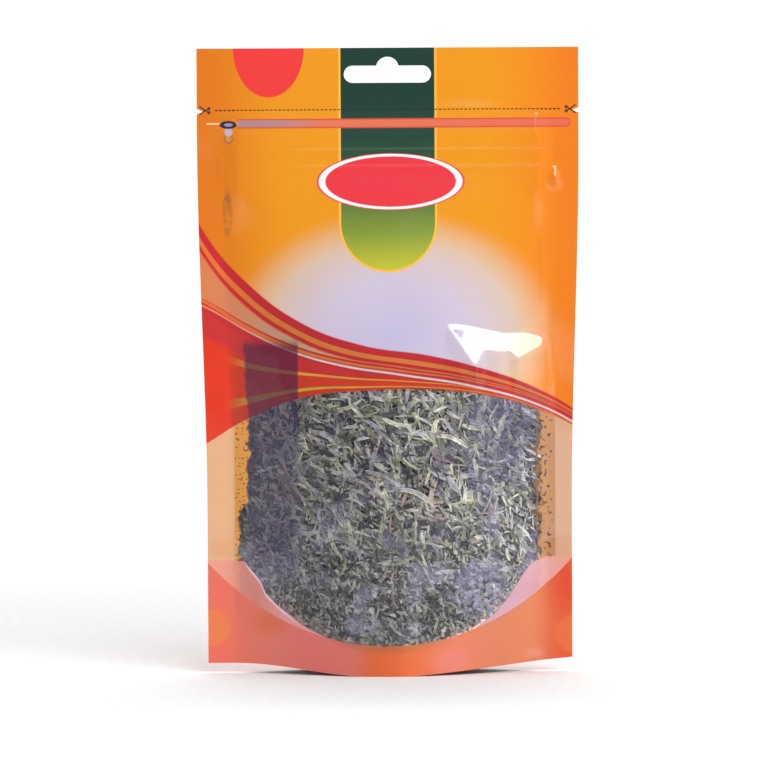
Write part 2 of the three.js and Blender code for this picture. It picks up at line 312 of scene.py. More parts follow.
# The leaves are heaped higher on the right, where the front film leans out over them in a short steep
# fold. The fold has one slope, between a top line and a foot line that runs down in two tongues.
FOLD_SLOPE, FOLD_HEIGHT, FOLD_SHARPNESS = 0.30, 2.2, 2.5
FOLD_TOP = [(12, 129), (28, 128.4), (43, 125.6), (50, 126.2), (57, 124.8), (62, 121.5)]
FOLD_FOOT = [(17, 129.5), (21, 128.4), (32, 113.5), (35, 119.4), (41, 118.2), (44.6, 118.3),
             (47.2, 115.4), (53.5, 118.1), (62, 122)]


def heap_fold(x, z):
    top, foot = (np.interp(x, *zip(*line)) for line in (FOLD_TOP, FOLD_FOOT))
    foot = np.minimum(foot, top)
    above, below = (np.logaddexp(0, (line - z) * FOLD_SHARPNESS) / FOLD_SHARPNESS for line in (top, foot))
    # Under the tongues the film comes back to one height, and lower down to its own form.
    settled = (FOLD_HEIGHT * step(18, 34, x) - FOLD_SLOPE * (top - foot)) * (1 - step(foot - 16, foot, z))
    across = step(10, 20, x) * (1 - step(56, 62, x))
    return across * (FOLD_SLOPE * (above - below) + settled) * step(80, 104, z)


# A short crease stands beside the right seal, under the zip.
CREASE_X, CREASE_WIDTH, CREASE_TOP_Z, CREASE_SLOPE = 61.1, 1.35, 187.0, 0.32


def seal_crease(x, z):
    leaning = CREASE_SLOPE * np.clip(CREASE_TOP_Z - z, 0, 6.2) * step(178, 180.6, z)
    return leaning * ridge(x - CREASE_X, CREASE_WIDTH)


# The film is pulled calmer where the heap's fold stretches it, above the fold and at the left.
def front_relief(x, z):
    calm = 1 - 0.85 * step(8, 18, x) * step(108, 114, z) * (1 - step(130, 138, z))
    calm = calm * (1 - 0.7 * ridge(np.hypot(x - 27, z - 149), 14)) * (1 - 0.5 * step(25, 40, -x))
    return film_relief(x, z, FRONT_SEED) * calm + heap_fold(x, z) + seal_crease(x, z)


# Where webs are welded they wave together, so this moves both the same way.
WAVE_HEIGHT, WAVE_LENGTH, WAVE_SEED = 0.22, 50, 5


def sealed_wave(x, z):
    header = step(HEADER_SEAL_Z - 4, HEADER_SEAL_Z + 6, z)
    side = step(inner_half_width(z) - 1, inner_half_width(z) + 5, np.abs(x)) * step(12, 40, z)
    return WAVE_HEIGHT * np.maximum(header, side) * ripples(x, z, WAVE_LENGTH, WAVE_SEED)


def back_relief(x, z):
    return film_relief(x, z, BACK_SEED)


# Outer face of each film, as a distance from the middle plane.
def front_reach(x, z):
    return panel_reach(x, z) + front_relief(x, z) + FILM - sealed_wave(x, z)


def back_reach(x, z):
    return panel_reach(x, z) + back_relief(x, z) + FILM + sealed_wave(x, z)


print("relief ready")

# %% [markdown]
# ## Ink on the film
# The pouch is printed from inside, so all its inks lie under one glossy face. Each printed shape is a mask
# from the film's own X and Z in millimetres, and each mask paints one ink over those below it. A drawn line
# is a Float Curve through a few points, and a round shape is a distance from its centre.

# %% Tools for drawing with nodes
SHEET_WIDTH, SHEET_HEIGHT = 150.0, 240.0     # the drawing's field, a little wider than the film
INK_EDGE = 0.16                              # how soft an ink's edge is, in millimetres


def film_places(tree):
    per_metre = 1 / MM
    place = add(tree, "ShaderNodeTexCoord").outputs["Object"]
    flat = add(tree, "ShaderNodeMapping", {
        "Vector": place, "Scale": (per_metre, 0, per_metre)}).outputs[0]
    x, _, z = add(tree, "ShaderNodeSeparateXYZ", {0: flat}).outputs
    share = add(tree, "ShaderNodeMapRange", (x, -SHEET_WIDTH / 2, SHEET_WIDTH / 2)).outputs[0]
    side = add(tree, "ShaderNodeMath", (x,), operation="ABSOLUTE").outputs[0]
    return {"flat": flat, "x": x, "z": z, "side": side, "share": share}


def drawn_line(tree, places, points, handle="AUTO"):
    node = add(tree, "ShaderNodeFloatCurve", {"Value": places["share"]})
    curve = node.mapping.curves[0]
    for k, (x, z) in enumerate(points):
        spot = (x / SHEET_WIDTH + 0.5, z / SHEET_HEIGHT)
        if k < 2:
            curve.points[k].location = spot
        else:
            curve.points.new(*spot)
        curve.points[k].handle_type = handle
    node.mapping.update()
    return add(tree, "ShaderNodeMath", (node.outputs[0], SHEET_HEIGHT), operation="MULTIPLY").outputs[0]


def more_than(tree, value, bound, soft=INK_EDGE):
    gap = add(tree, "ShaderNodeMath", (value, bound), operation="SUBTRACT").outputs[0]
    return add(tree, "ShaderNodeMapRange", (gap, -soft, soft), interpolation_type="SMOOTHSTEP").outputs[0]


def both(tree, one, other):
    return add(tree, "ShaderNodeMath", (one, other), operation="MULTIPLY").outputs[0]


def oval(tree, places, centre, radii):
    moved = add(tree, "ShaderNodeMapping", {
        "Vector": places["flat"], "Location": (centre[0], 0, centre[1]),
        "Scale": (radii[0], 1, radii[1])}, vector_type="TEXTURE").outputs[0]
    return add(tree, "ShaderNodeVectorMath", {0: moved}, operation="LENGTH").outputs["Value"]


def oval_area(tree, places, centre, radii, bound=1.0, soft=0.012):
    return more_than(tree, bound, oval(tree, places, centre, radii), soft)


def between(tree, low, value, high, soft=INK_EDGE):
    return both(tree, more_than(tree, value, low, soft), more_than(tree, high, value, soft))


def paint(tree, under, ink, mask):
    ink = linear(ink) if isinstance(ink, str) else ink
    return add(tree, "ShaderNodeMix", {0: mask, 6: under, 7: ink}, data_type="RGBA").outputs[2]


print("drawing tools ready")

# %% [markdown]
# ## Front print
# The ground is orange, redder towards the seals, with a pale glow in the middle. A green band comes down
# from the hang slot, two ribbons of warm stripes sweep over the window's upper edge, and an orange-red
# skirt closes the base. The window between them has no ink at all. Each line below is a few points in
# millimetres, and each colour ramp is a few stops along its own direction.

# %% Window and ribbon outlines
WINDOW_TOP = [(-75, 80), (-66, 85.5), (-53, 93.5), (-33, 102), (-8, 105), (15, 105.2), (40, 102),
              (56, 96.5), (75, 87)]
RIBBON_TOP = [(-75, 178), (-66, 160), (-52, 144), (-33, 130), (-10, 121.5), (15, 117.5), (38, 111.5),
              (56, 104), (75, 92)]
RIBBONS_MEET = [(5, 113.2), (36, 107.6), (56, 100.8), (75, 90)]
UPPER_FOOT = [(-75, 167), (-66, 150), (-52, 134.5), (-36, 124), (-18, 117), *RIBBONS_MEET]
LOWER_TOP = [(-75, 141), (-66, 137), (-52, 129), (-36, 121.8), (-18, 116.8), *RIBBONS_MEET]
WINDOW_CENTRE, WINDOW_RADIUS = (-0.6, 100.7), 89.5
UPPER_STRIPES = [(0.0, "#D5323A"), (0.44, "#E8893F"), (0.72, "#D2343A"), (0.93, "#E58A4A")]
LOWER_STRIPES = [
    (0.0, "#CF3138"), (0.10, "#E7803E"), (0.2, "#D03239"), (0.34, "#D73A3A"),
    (0.6, "#E9B23F"), (0.65, "#E2452F"), (0.86, "#D9B83E"), (0.91, "#D9402F"),
]
THREAD_TOP, THREAD_WIDTH = 2.2, 0.75         # a pale line of even width, below the lower ribbon's top


# How far down a ribbon a place is, as a share of the ribbon's width there.
def ribbon_share(tree, places, top, foot):
    down = add(tree, "ShaderNodeMath", (top, places["z"]), operation="SUBTRACT").outputs[0]
    deep = add(tree, "ShaderNodeMath", (top, foot), operation="SUBTRACT").outputs[0]
    return add(tree, "ShaderNodeMath", (down, deep), operation="DIVIDE", use_clamp=True).outputs[0]


print("window top:", len(WINDOW_TOP), "points")

# %% Masks shared by the colour and the clearness of the film
def window_mask(tree, places, window):
    radii = (WINDOW_RADIUS, WINDOW_RADIUS)
    round_part = oval_area(tree, places, WINDOW_CENTRE, radii, soft=INK_EDGE / WINDOW_RADIUS)
    lower = more_than(tree, WINDOW_CENTRE[1], places["z"])
    either = add(tree, "ShaderNodeMix", {0: lower, 2: 1.0, 3: round_part}).outputs[0]
    return both(tree, either, more_than(tree, window, places["z"]))


print("window mask ready")

# %% Ground, glow and green band
GROUND, SEAM_FADE = "#D78800", (34.0, 68.0)
SEAM_INKS = [(0.0, "#CD6A00"), (0.3, "#D07000"), (0.7, "#D97800"), (1.0, "#D76E00")]
GLOW_CENTRE, GLOW_RADII = (2, 125), (57, 43)
GLOW_INKS = [(0.0, "#ADA7C5"), (0.45, "#BBB0C2"), (0.65, "#C1AFB2"), (0.85, "#C8AC90")]
BAND_HALF_WIDTH, BAND_END_Z, BAND_RIM = 17.2, 166.0, 0.8
BAND_INKS = [(0.0, "#B4B22A"), (0.22, "#778A2C"), (0.5, "#2C4E2B"), (0.8, "#0A372A"), (1.0, "#053026")]


def seam_fade(tree, places):
    return add(tree, "ShaderNodeMapRange", (places["side"], *SEAM_FADE),
               interpolation_type="SMOOTHSTEP").outputs[0]


# The green band has a round end and a gold edge.
def green_band(tree, places, colour):
    height = add(tree, "ShaderNodeMapRange", (places["z"], 148.0, 212.0)).outputs[0]
    green = add(tree, "ShaderNodeValToRGB", (height,), BAND_INKS).outputs[0]
    for grown, ink in ((BAND_RIM, "#E8A935"), (0.0, green)):
        width = BAND_HALF_WIDTH + grown
        end = oval_area(tree, places, (0, BAND_END_Z), (width, width), soft=INK_EDGE / width)
        bar = both(tree, more_than(tree, width, places["side"]), more_than(tree, places["z"], BAND_END_Z))
        band = add(tree, "ShaderNodeMath", (end, bar), operation="MAXIMUM").outputs[0]
        colour = paint(tree, colour, ink, band)
    return colour


def upper_print(tree, places):
    fade = seam_fade(tree, places)
    seam_ink = add(tree, "ShaderNodeValToRGB", (places["share"],), SEAM_INKS).outputs[0]
    colour = paint(tree, linear(GROUND), seam_ink, fade)
    glow = oval(tree, places, GLOW_CENTRE, GLOW_RADII)
    glow_ink = add(tree, "ShaderNodeValToRGB", (glow,), GLOW_INKS).outputs[0]
    colour = paint(tree, colour, glow_ink, more_than(tree, 0.93, glow, 0.17))
    return green_band(tree, places, colour)


# %% Ribbons and skirt
FIELD_INKS = [(0.05, "#E0935A"), (0.12, "#DC9A70"), (0.3, "#CDB39A"), (1.0, "#CDB39A")]
THREAD_INKS = [(0.08, "#E8A070"), (0.2, "#E6C4B4"), (0.34, "#EDE3EC")]
SKIRT_INKS = [(0.077, "#F0836A"), (0.21, "#E58C78"), (0.31, "#E2837C"), (0.41, "#E08370"), (0.456, "#E27740"),
              (0.505, "#E97B42"), (0.554, "#F08A4A"), (0.65, "#F09876"), (0.75, "#E69972"), (0.85, "#E89A68"),
              (0.92, "#E86C38")]
GATHER = (0.42, 1.0)             # the lower ribbon's stripes crowd together towards the left
PLAIN_LEFT_X = -54.0             # left of this the lower ribbon is one plain red


# Two ribbons of stripes part towards the left round a pale field, and the skirt lies under the window.
def front_colours(tree, places, top, window):
    z = places["z"]
    colour = upper_print(tree, places)
    upper_foot, lower_top = drawn_line(tree, places, UPPER_FOOT), drawn_line(tree, places, LOWER_TOP)
    upper = add(tree, "ShaderNodeValToRGB", (ribbon_share(tree, places, top, upper_foot),), UPPER_STRIPES)
    upper.color_ramp.interpolation = "CONSTANT"
    colour = paint(tree, colour, upper.outputs[0], more_than(tree, top, z))
    field = add(tree, "ShaderNodeValToRGB", (places["share"],), FIELD_INKS).outputs[0]
    colour = paint(tree, colour, field, more_than(tree, upper_foot, z))
    gather = add(tree, "ShaderNodeMapRange", (places["x"], -70.0, 5.0, *GATHER)).outputs[0]
    down = ribbon_share(tree, places, lower_top, window)
    down = add(tree, "ShaderNodeMath", (down, gather), operation="POWER").outputs[0]
    plain = both(tree, more_than(tree, down, 0.55, 0.01), more_than(tree, PLAIN_LEFT_X, places["x"], 7.0))
    lower = add(tree, "ShaderNodeValToRGB", (down,), LOWER_STRIPES)
    lower.color_ramp.interpolation = "CONSTANT"
    stripes = paint(tree, lower.outputs[0], "#E64018", plain)
    colour = paint(tree, colour, stripes, more_than(tree, lower_top, z))
    below = add(tree, "ShaderNodeMath", (lower_top, z), operation="SUBTRACT").outputs[0]
    thread = between(tree, THREAD_TOP, below, THREAD_TOP + THREAD_WIDTH)
    thread_ink = add(tree, "ShaderNodeValToRGB", (places["share"],), THREAD_INKS).outputs[0]
    colour = paint(tree, colour, thread_ink, thread)
    skirt = add(tree, "ShaderNodeValToRGB", (places["share"],), SKIRT_INKS).outputs[0]
    return paint(tree, colour, skirt, more_than(tree, window, z))


print("front print drawn")

# %% [markdown]
# ## Smaller printed marks
# A bare oval badge, a plain red tab on the header, the bar and the slider sign that mark the zip, and soft
# glows on the skirt are painted over the large areas in the same way. So are some darker brown marks in
# the side seals.

# %% Places of the marks
BADGE_CENTRE, BADGE_RADII = (1, 181), (24, 9.2)
BADGE_RINGS = [(1.13, "#CC2831"), (1.10, "#E4DFE6"), (1.0, "#D52C37")]
TAB_CENTRE, TAB_RADII, TAB_INK = (-43.6, HEIGHT), (13, 18), "#D9312F"
ZIP_BAR_Z, ZIP_BAR_HALF, ZIP_BAR_RIM = 202.4, 1.75, 0.5
ZIP_BAR_LEFT, ZIP_BAR_RIGHT, ZIP_LINE_LEFT = -55.0, 65.4, -66.5
ZIP_BAR_INKS = [(0.12, "#9C777E"), (0.24, "#A27A7C"), (0.34, "#CE6A4C"), (1.0, "#CC5F44")]
# A dark slider body, and a pale tab with a ring. Each oval is a centre, two radii and an ink.
SLIDER_SIGN = [
    ((-58.4, 196.9), (1.75, 1.75), "#8C6A4E"), ((-58.4, 196.9), (1.15, 1.1), "#D78400"),
    ((-58.4, 199.3), (1.5, 1.6), "#B9A3B4"), ((-58.5, 202.0), (3.2, 1.45), "#2A1C33"),
    ((-58.4, 202.0), (1.6, 0.65), "#8A84A0"),
]
# Darker marks in the seals add a strength, and the skirt's glows a strength and how soft they are.
SEAL_MARK_INK = "#5A4420"
SEAL_DARK_MARKS = [
    ((-58.9, 170), (2.1, 10.5), 0.5), ((-62.5, 187), (0.7, 4.5), 0.2),
    ((-60.6, 152), (0.8, 6), 0.22), ((55.5, 150), (0.6, 14), 0.12),
]
SKIRT_GLOWS = [
    ((-65.4, 16.8), (7.5, 7.5), "#F2984E", 0.7, 0.08), ((-44, 19), (11, 7), "#DE6E2A", 0.5, 0.45),
    ((72, 33), (22, 17), "#E23A0C", 0.95, 0.6), ((68, 14), (7.8, 7.8), "#EE8A50", 0.6, 0.08),
    ((22, 5), (10, 7), "#F5A29C", 0.5, 0.4), ((53, 7), (6, 3), "#F4B4A4", 0.5, 0.5),
]
print("stains:", len(SEAL_DARK_MARKS), "and glows:", len(SKIRT_GLOWS))

# %% Badge, tab and zip bar
def zip_bar(tree, places, colour):
    x = places["x"]
    height = add(tree, "ShaderNodeMath", (places["z"], ZIP_BAR_Z), operation="SUBTRACT").outputs[0]
    height = add(tree, "ShaderNodeMath", (height,), operation="ABSOLUTE").outputs[0]
    long = between(tree, ZIP_BAR_LEFT, x, ZIP_BAR_RIGHT)
    tint = add(tree, "ShaderNodeValToRGB", (places["share"],), ZIP_BAR_INKS).outputs[0]
    for half, ink in ((ZIP_BAR_HALF, "#CA4223"), (ZIP_BAR_HALF - ZIP_BAR_RIM, tint)):
        end = oval_area(tree, places, (ZIP_BAR_RIGHT, ZIP_BAR_Z), (half, half), soft=0.1)
        bar = both(tree, more_than(tree, half, height), long)
        bar = add(tree, "ShaderNodeMath", (bar, end), operation="MAXIMUM").outputs[0]
        colour = paint(tree, colour, ink, bar)
    line = both(tree, more_than(tree, 0.25, height), between(tree, ZIP_LINE_LEFT, x, ZIP_BAR_LEFT))
    return paint(tree, colour, "#E8C0A0", line)


def patch_grain(tree, places):
    cloud = add(tree, "ShaderNodeTexNoise", {
        "Vector": places["flat"], "Scale": 0.45, "Detail": 3.0}).outputs[0]
    return add(tree, "ShaderNodeMapRange", (cloud, 0.35, 0.6), interpolation_type="SMOOTHSTEP").outputs[0]


def front_marks(tree, places, colour):
    for bound, ink in BADGE_RINGS:
        colour = paint(tree, colour, ink, oval_area(tree, places, BADGE_CENTRE, BADGE_RADII, bound))
    colour = paint(tree, colour, TAB_INK, oval_area(tree, places, TAB_CENTRE, TAB_RADII))
    colour = zip_bar(tree, places, colour)
    for centre, radii, ink in SLIDER_SIGN:
        colour = paint(tree, colour, ink, oval_area(tree, places, centre, radii, soft=0.12))
    for centre, radii, strength in SEAL_DARK_MARKS:
        seal_mark = both(tree, oval_area(tree, places, centre, radii, 0.8, 0.3), patch_grain(tree, places))
        colour = paint(tree, colour, SEAL_MARK_INK, both(tree, seal_mark, strength))
    for centre, radii, ink, strength, soft in SKIRT_GLOWS:
        glow = oval_area(tree, places, centre, radii, 1.0 - soft, soft)
        colour = paint(tree, colour, ink, both(tree, glow, strength))
    return colour


print("marks:", 2 + len(SLIDER_SIGN) + len(SEAL_DARK_MARKS) + len(SKIRT_GLOWS))

# %% [markdown]
# ## Film materials
# The pouch is a laminate of polyester over polyethylene. To the eye it is a clear coat with a sharp gloss
# over ink that is a little see-through. Ink is a Principled surface with a coat. The window has none: it
# mixes see-through with gloss by Fresnel, and a faint veil that carries painted shade and haze in places.

# %% Printed and clear laminate
CRINKLE_SIZE, CRINKLE_DEPTH, CRINKLE_STRENGTH = 5.0, 0.05, 0.5       # sizes in millimetres
CLEAR = (1, 1, 1, 1)


def crinkle_bump(tree, size=CRINKLE_SIZE):
    place = add(tree, "ShaderNodeTexCoord").outputs["Object"]
    height = add(tree, "ShaderNodeTexNoise", {
        "Vector": place, "Scale": 1 / (size * MM), "Detail": 3.0}).outputs[0]
    return add(tree, "ShaderNodeBump", {
        "Height": height, "Distance": CRINKLE_DEPTH * MM, "Strength": CRINKLE_STRENGTH}).outputs[0]


def printed_surface(tree, colour, bump):
    place = add(tree, "ShaderNodeTexCoord").outputs["Object"]
    grain = add(tree, "ShaderNodeTexNoise", {"Vector": place, "Scale": 1 / (4.0 * MM)}).outputs[0]
    rough = add(tree, "ShaderNodeMapRange", (grain, 0.0, 1.0, 0.38, 0.5)).outputs[0]
    return add(tree, "ShaderNodeBsdfPrincipled", {
        "Base Color": colour, "Normal": bump, "Coat Normal": bump, "Roughness": rough, "IOR": 1.4,
        "Specular IOR Level": 0.15, "Coat Weight": 1.0, "Coat Roughness": 0.05,
        "Coat IOR": 1.52}).outputs[0]


def glossed(tree, body, bump, ior):
    gloss = add(tree, "ShaderNodeBsdfGlossy", {"Color": CLEAR, "Roughness": 0.07, "Normal": bump})
    fresnel = add(tree, "ShaderNodeFresnel", {"IOR": ior, "Normal": bump}).outputs[0]
    return add(tree, "ShaderNodeMixShader", (fresnel, body, gloss.outputs[0])).outputs[0]


def clear_surface(tree, bump, haze, haze_colour):
    painted_veil = add(tree, "ShaderNodeBsdfDiffuse", {0: haze_colour}).outputs[0]
    open_film = add(tree, "ShaderNodeBsdfTransparent", (CLEAR,)).outputs[0]
    veiled = add(tree, "ShaderNodeMixShader", (haze, open_film, painted_veil)).outputs[0]
    return glossed(tree, veiled, bump, 1.5)


print("laminate surfaces ready")

# %% Painted shade along the left of the front film
SHADE_LEFT_X, SHADE_EDGE_X, SHADE_WANDER = -57.5, -37.5, 9.0
SHADE_TOP_Z, SHADE_LOW_Z = 121.0, 40.0


# A dark violet veil is painted inside the film along its left side, as painted shade with a violet haze.
def painted_shade_sides(tree, places):
    wander = add(tree, "ShaderNodeTexNoise", {
        "Vector": places["flat"], "Scale": 0.16, "Detail": 3.0}).outputs[0]
    left = add(tree, "ShaderNodeMath", (
        wander, SHADE_WANDER, SHADE_LEFT_X), operation="MULTIPLY_ADD").outputs[0]
    right = add(tree, "ShaderNodeMath", (
        wander, SHADE_WANDER, SHADE_EDGE_X), operation="MULTIPLY_ADD").outputs[0]
    return more_than(tree, places["x"], left, 0.8), more_than(tree, right, places["x"], 1.8)


def painted_shade_zone(tree, places):
    painted_veil = both(tree, *painted_shade_sides(tree, places))
    painted_veil = both(tree, painted_veil, more_than(tree, places["z"], SHADE_LOW_Z, 14.0))
    return both(tree, painted_veil, more_than(tree, SHADE_TOP_Z, places["z"], 5.0))


# Patches of haze on the window, stronger to the right and darker higher up, are painted reflection and
# shade: a centre, two radii and a strength each.
PAINTED_HAZE_PATCHES = [
    ((-25.6, 48.5), (4.2, 2.8), 1.0), ((37, 58), (5.5, 12), 1.1), ((33, 31), (14, 12), 1.4),
    ((37, 75), (14, 13), 1.4), ((-10, 19), (9, 5), 0.8), ((43, 90), (16, 23), 1.8),
]
PAINTED_HAZE_VEIL, LEAST_VEIL, SHADE_VEIL = 0.26, 0.012, 0.33
PAINTED_HAZE_INKS = [(0.0, "#C4BFE0"), (0.25, "#B4AED6"), (0.5, "#7A75A0"), (0.8, "#67638A")]


# The haze is painted reflection and shade.
def painted_haze(tree, places):
    cloud = add(tree, "ShaderNodeTexNoise", {"Vector": places["flat"], "Scale": 0.07}).outputs[0]
    side = add(tree, "ShaderNodeMapRange", (places["x"], -30.0, 50.0, 0.5, 1.0)).outputs[0]
    haze = both(tree, more_than(tree, cloud, 0.58, 0.08), side)
    grain = patch_grain(tree, places)
    for centre, radii, strength in PAINTED_HAZE_PATCHES:
        patch = both(tree, oval_area(tree, places, centre, radii, 0.75, 0.35), grain)
        patch = both(tree, patch, strength)
        haze = add(tree, "ShaderNodeMath", (haze, patch), operation="MAXIMUM").outputs[0]
    return haze


print("haze patches:", len(PAINTED_HAZE_PATCHES))

# %% Front laminate: the inked parts
front_laminate, tree = new_material("front_laminate")
places = film_places(tree)
window_line = drawn_line(tree, places, WINDOW_TOP)
ribbon_line = drawn_line(tree, places, RIBBON_TOP)
print_colour = front_marks(tree, places, front_colours(tree, places, ribbon_line, window_line))
crinkle = crinkle_bump(tree)
# The left of the window is veiled in dark violet here, as painted shade.
painted_veil = painted_shade_zone(tree, places)
# The ribbon's inks have no white under them, so the dark fill shows through them a little. Over their left
# part a dark maroon is painted, as painted shade.
PAINTED_SHADE_INK, PAINTED_SHADE_STRENGTH, THIN_INK = "#4C0C30", 0.88, (0.55, 0.85)
ribbon_area = more_than(tree, ribbon_line, places["z"], 0.6)
painted_shade_left, _ = painted_shade_sides(tree, places)
band = both(tree, painted_shade_left, more_than(tree, SHADE_EDGE_X + 4.2, places["x"], 0.5))
band = both(tree, band, more_than(tree, SHADE_TOP_Z + 1.5, places["z"], 2.5))
band = both(tree, band, more_than(tree, places["z"], 80.0))
painted_shade_on_ink = both(tree, both(tree, ribbon_area, band), PAINTED_SHADE_STRENGTH)
opaque = printed_surface(tree, paint(tree, print_colour, PAINTED_SHADE_INK, painted_shade_on_ink), crinkle)
thickness = add(tree, "ShaderNodeMapRange", (painted_shade_on_ink, 0.0, PAINTED_SHADE_STRENGTH, *THIN_INK)).outputs[0]
tinted_film = add(tree, "ShaderNodeBsdfTransparent", (print_colour,)).outputs[0]
thin_ink = add(tree, "ShaderNodeMixShader", (thickness, tinted_film, opaque)).outputs[0]
inked = add(tree, "ShaderNodeMixShader", (ribbon_area, opaque, thin_ink)).outputs[0]
print("inked parts:", len(tree.nodes), "nodes")

# %% Front laminate: the clear window
# It carries painted shade along its left side, and patches of painted reflection and shade.
painted_haze_level = painted_haze(tree, places)
painted_haze_level = add(tree, "ShaderNodeMath", (painted_haze_level, PAINTED_HAZE_VEIL, LEAST_VEIL), operation="MULTIPLY_ADD").outputs[0]
veil = add(tree, "ShaderNodeMix", {0: painted_veil, 2: painted_haze_level, 3: SHADE_VEIL}).outputs[0]
height = add(tree, "ShaderNodeMapRange", (places["z"], 20.0, 100.0)).outputs[0]
painted_haze_ink = add(tree, "ShaderNodeValToRGB", (height,), PAINTED_HAZE_INKS).outputs[0]
# On the left the veil's colour is a dark violet of painted shade.
clear = clear_surface(tree, crinkle, veil, paint(tree, painted_haze_ink, "#4A3D60", painted_veil))
print("with the clear window:", len(tree.nodes), "nodes")

# %% Front laminate: the welded parts
# The side seals are milky. The gusset's leg is welded under a curve, and the film is pinker there. A pale
# line at the left along the weld's edge is a painted highlight.
SEAL_INNER_LEFT, SEAL_INNER_RIGHT = -57.0, 61.0
LEG_INKS = [(0.08, "#D98F82"), (0.17, "#CF7A68"), (0.24, "#D98E8C"), (0.76, "#CFA2B4"), (0.86, "#D39CA2"),
            (0.94, "#D98A74")]
HIGHLIGHT_RIM_WIDTH, HIGHLIGHT_RIM_LEFT_X, HIGHLIGHT_RIM_RIGHT_X = 1.2, -53.0, -36.0
foot_line = drawn_line(tree, places, FILL_FOOT, "VECTOR")
leg = more_than(tree, foot_line, places["z"], 0.25)
highlight_rim_line = add(tree, "ShaderNodeMath", (foot_line, HIGHLIGHT_RIM_WIDTH), operation="SUBTRACT").outputs[0]
# The pale rim along the weld's edge is a painted highlight.
rim = both(tree, leg, more_than(tree, places["z"], highlight_rim_line, 0.5))
rim = both(tree, rim, more_than(tree, HIGHLIGHT_RIM_RIGHT_X, places["x"], 4.0))
rim = both(tree, rim, more_than(tree, places["x"], HIGHLIGHT_RIM_LEFT_X, 0.8))
leg_ink = add(tree, "ShaderNodeValToRGB", (places["share"],), LEG_INKS).outputs[0]
leg_pink = paint(tree, leg_ink, "#D8BCD0", rim)


# Everything left of one bound and right of another.
def outside(tree, low, value, high, soft):
    left, right = more_than(tree, low, value, soft), more_than(tree, value, high, soft)
    return add(tree, "ShaderNodeMath", (left, right), operation="MAXIMUM").outputs[0]


strip = outside(tree, SEAL_INNER_LEFT, places["x"], SEAL_INNER_RIGHT, 0.4)
strip_inks = [(0.3, "#D2A27D"), (0.7, "#C99C80")]
strip_tint = add(tree, "ShaderNodeValToRGB", (places["share"],), strip_inks).outputs[0]
milky = printed_surface(tree, paint(tree, strip_tint, leg_pink, leg), crinkle)
welded = add(tree, "ShaderNodeMath", (strip, leg), operation="MAXIMUM").outputs[0]
welded = add(tree, "ShaderNodeMapRange", (welded, 0.0, 1.0, 0.0, 0.8)).outputs[0]
print("with the welded parts:", len(tree.nodes), "nodes")

# %% Front laminate: painted light where the webs nearly touch beside the fill
# The two webs nearly touch there, and the back's orange behind is painted bright on the front film, as
# painted light in the shaded gap. The bounds are ragged, and the left one draws in with the fill. Flecks of
# leaf are caught between the webs, larger on the right.
RAGGED_REACH, GAP_LIGHT_RIGHT_X, GAP_LIGHT_TOP_Z, GAP_LIGHT_SHARE = 7.0, 55.4, 112.0, 0.7
CREASE_SHADE_INK, CREASE_FROM_X, CREASE_TO_X, CREASE_HIGH_Z = "#6E4A36", 54.1, 54.45, 100.0
FLECK_INK, FLECK_RIGHT_X, FLECK_TOP_Z = "#332F20", 60.0, 96.0
ragged = add(tree, "ShaderNodeTexNoise", {"Vector": places["flat"], "Scale": 0.24, "Detail": 4.0}).outputs[0]
wander = add(tree, "ShaderNodeMath", (
    ragged, RAGGED_REACH, -RAGGED_REACH / 2), operation="MULTIPLY_ADD").outputs[0]
left_bound = add(tree, "ShaderNodeMapRange", (places["z"], 56.0, 66.0, -55.6, -52.0)).outputs[0]
left_bound = add(tree, "ShaderNodeMath", (left_bound, wander), operation="ADD").outputs[0]
right_bound = add(tree, "ShaderNodeMath", (wander, GAP_LIGHT_RIGHT_X), operation="ADD").outputs[0]
touching_painted_light = outside(tree, left_bound, places["x"], right_bound, 0.5)
touching_painted_light = both(tree, touching_painted_light, more_than(tree, GAP_LIGHT_TOP_Z, places["z"], 2.0))
touching_painted_light = add(tree, "ShaderNodeMapRange", (touching_painted_light, 0.0, 1.0, 0.0, GAP_LIGHT_SHARE)).outputs[0]
# The gap's bright orange is painted light.
gap_light_inks = [(0.3, "#F0A034"), (0.7, "#C48A56")]
gap_light_tint = add(tree, "ShaderNodeValToRGB", (places["share"],), gap_light_inks).outputs[0]
# The fold beside the fill is painted as a thin dark line, as painted shade.
crease = between(tree, CREASE_FROM_X, places["x"], CREASE_TO_X, 0.12)
gap_light_tint = paint(tree, gap_light_tint, CREASE_SHADE_INK, crease)
fleck_size = add(tree, "ShaderNodeMapRange", (places["x"], -10.0, 10.0, 1.0, 0.62)).outputs[0]
fleck = add(tree, "ShaderNodeTexNoise", {
    "Vector": places["flat"], "Scale": fleck_size, "Detail": 1.0}).outputs[0]
fleck = more_than(tree, fleck, 0.62, 0.02)
fleck = both(tree, fleck, more_than(tree, FLECK_TOP_Z, places["z"], 6.0))
fleck = both(tree, fleck, between(tree, SEAL_INNER_LEFT, places["x"], FLECK_RIGHT_X))
gap_light_tint = paint(tree, gap_light_tint, FLECK_INK, fleck)
high_crease = both(tree, crease, more_than(tree, CREASE_HIGH_Z, places["z"]))
touching_painted_light = add(tree, "ShaderNodeMath", (touching_painted_light, high_crease), operation="MAXIMUM").outputs[0]
gap_light_film = printed_surface(tree, gap_light_tint, crinkle)
close = add(tree, "ShaderNodeMixShader", (touching_painted_light, clear, gap_light_film)).outputs[0]
print("with the touching webs:", len(tree.nodes), "nodes")

# %% Front laminate: put together
window = add(tree, "ShaderNodeMixShader", (welded, close, milky)).outputs[0]
window_area = window_mask(tree, places, window_line)
film = add(tree, "ShaderNodeMixShader", (window_area, inked, window)).outputs[0]
add(tree, "ShaderNodeOutputMaterial", {"Surface": film})

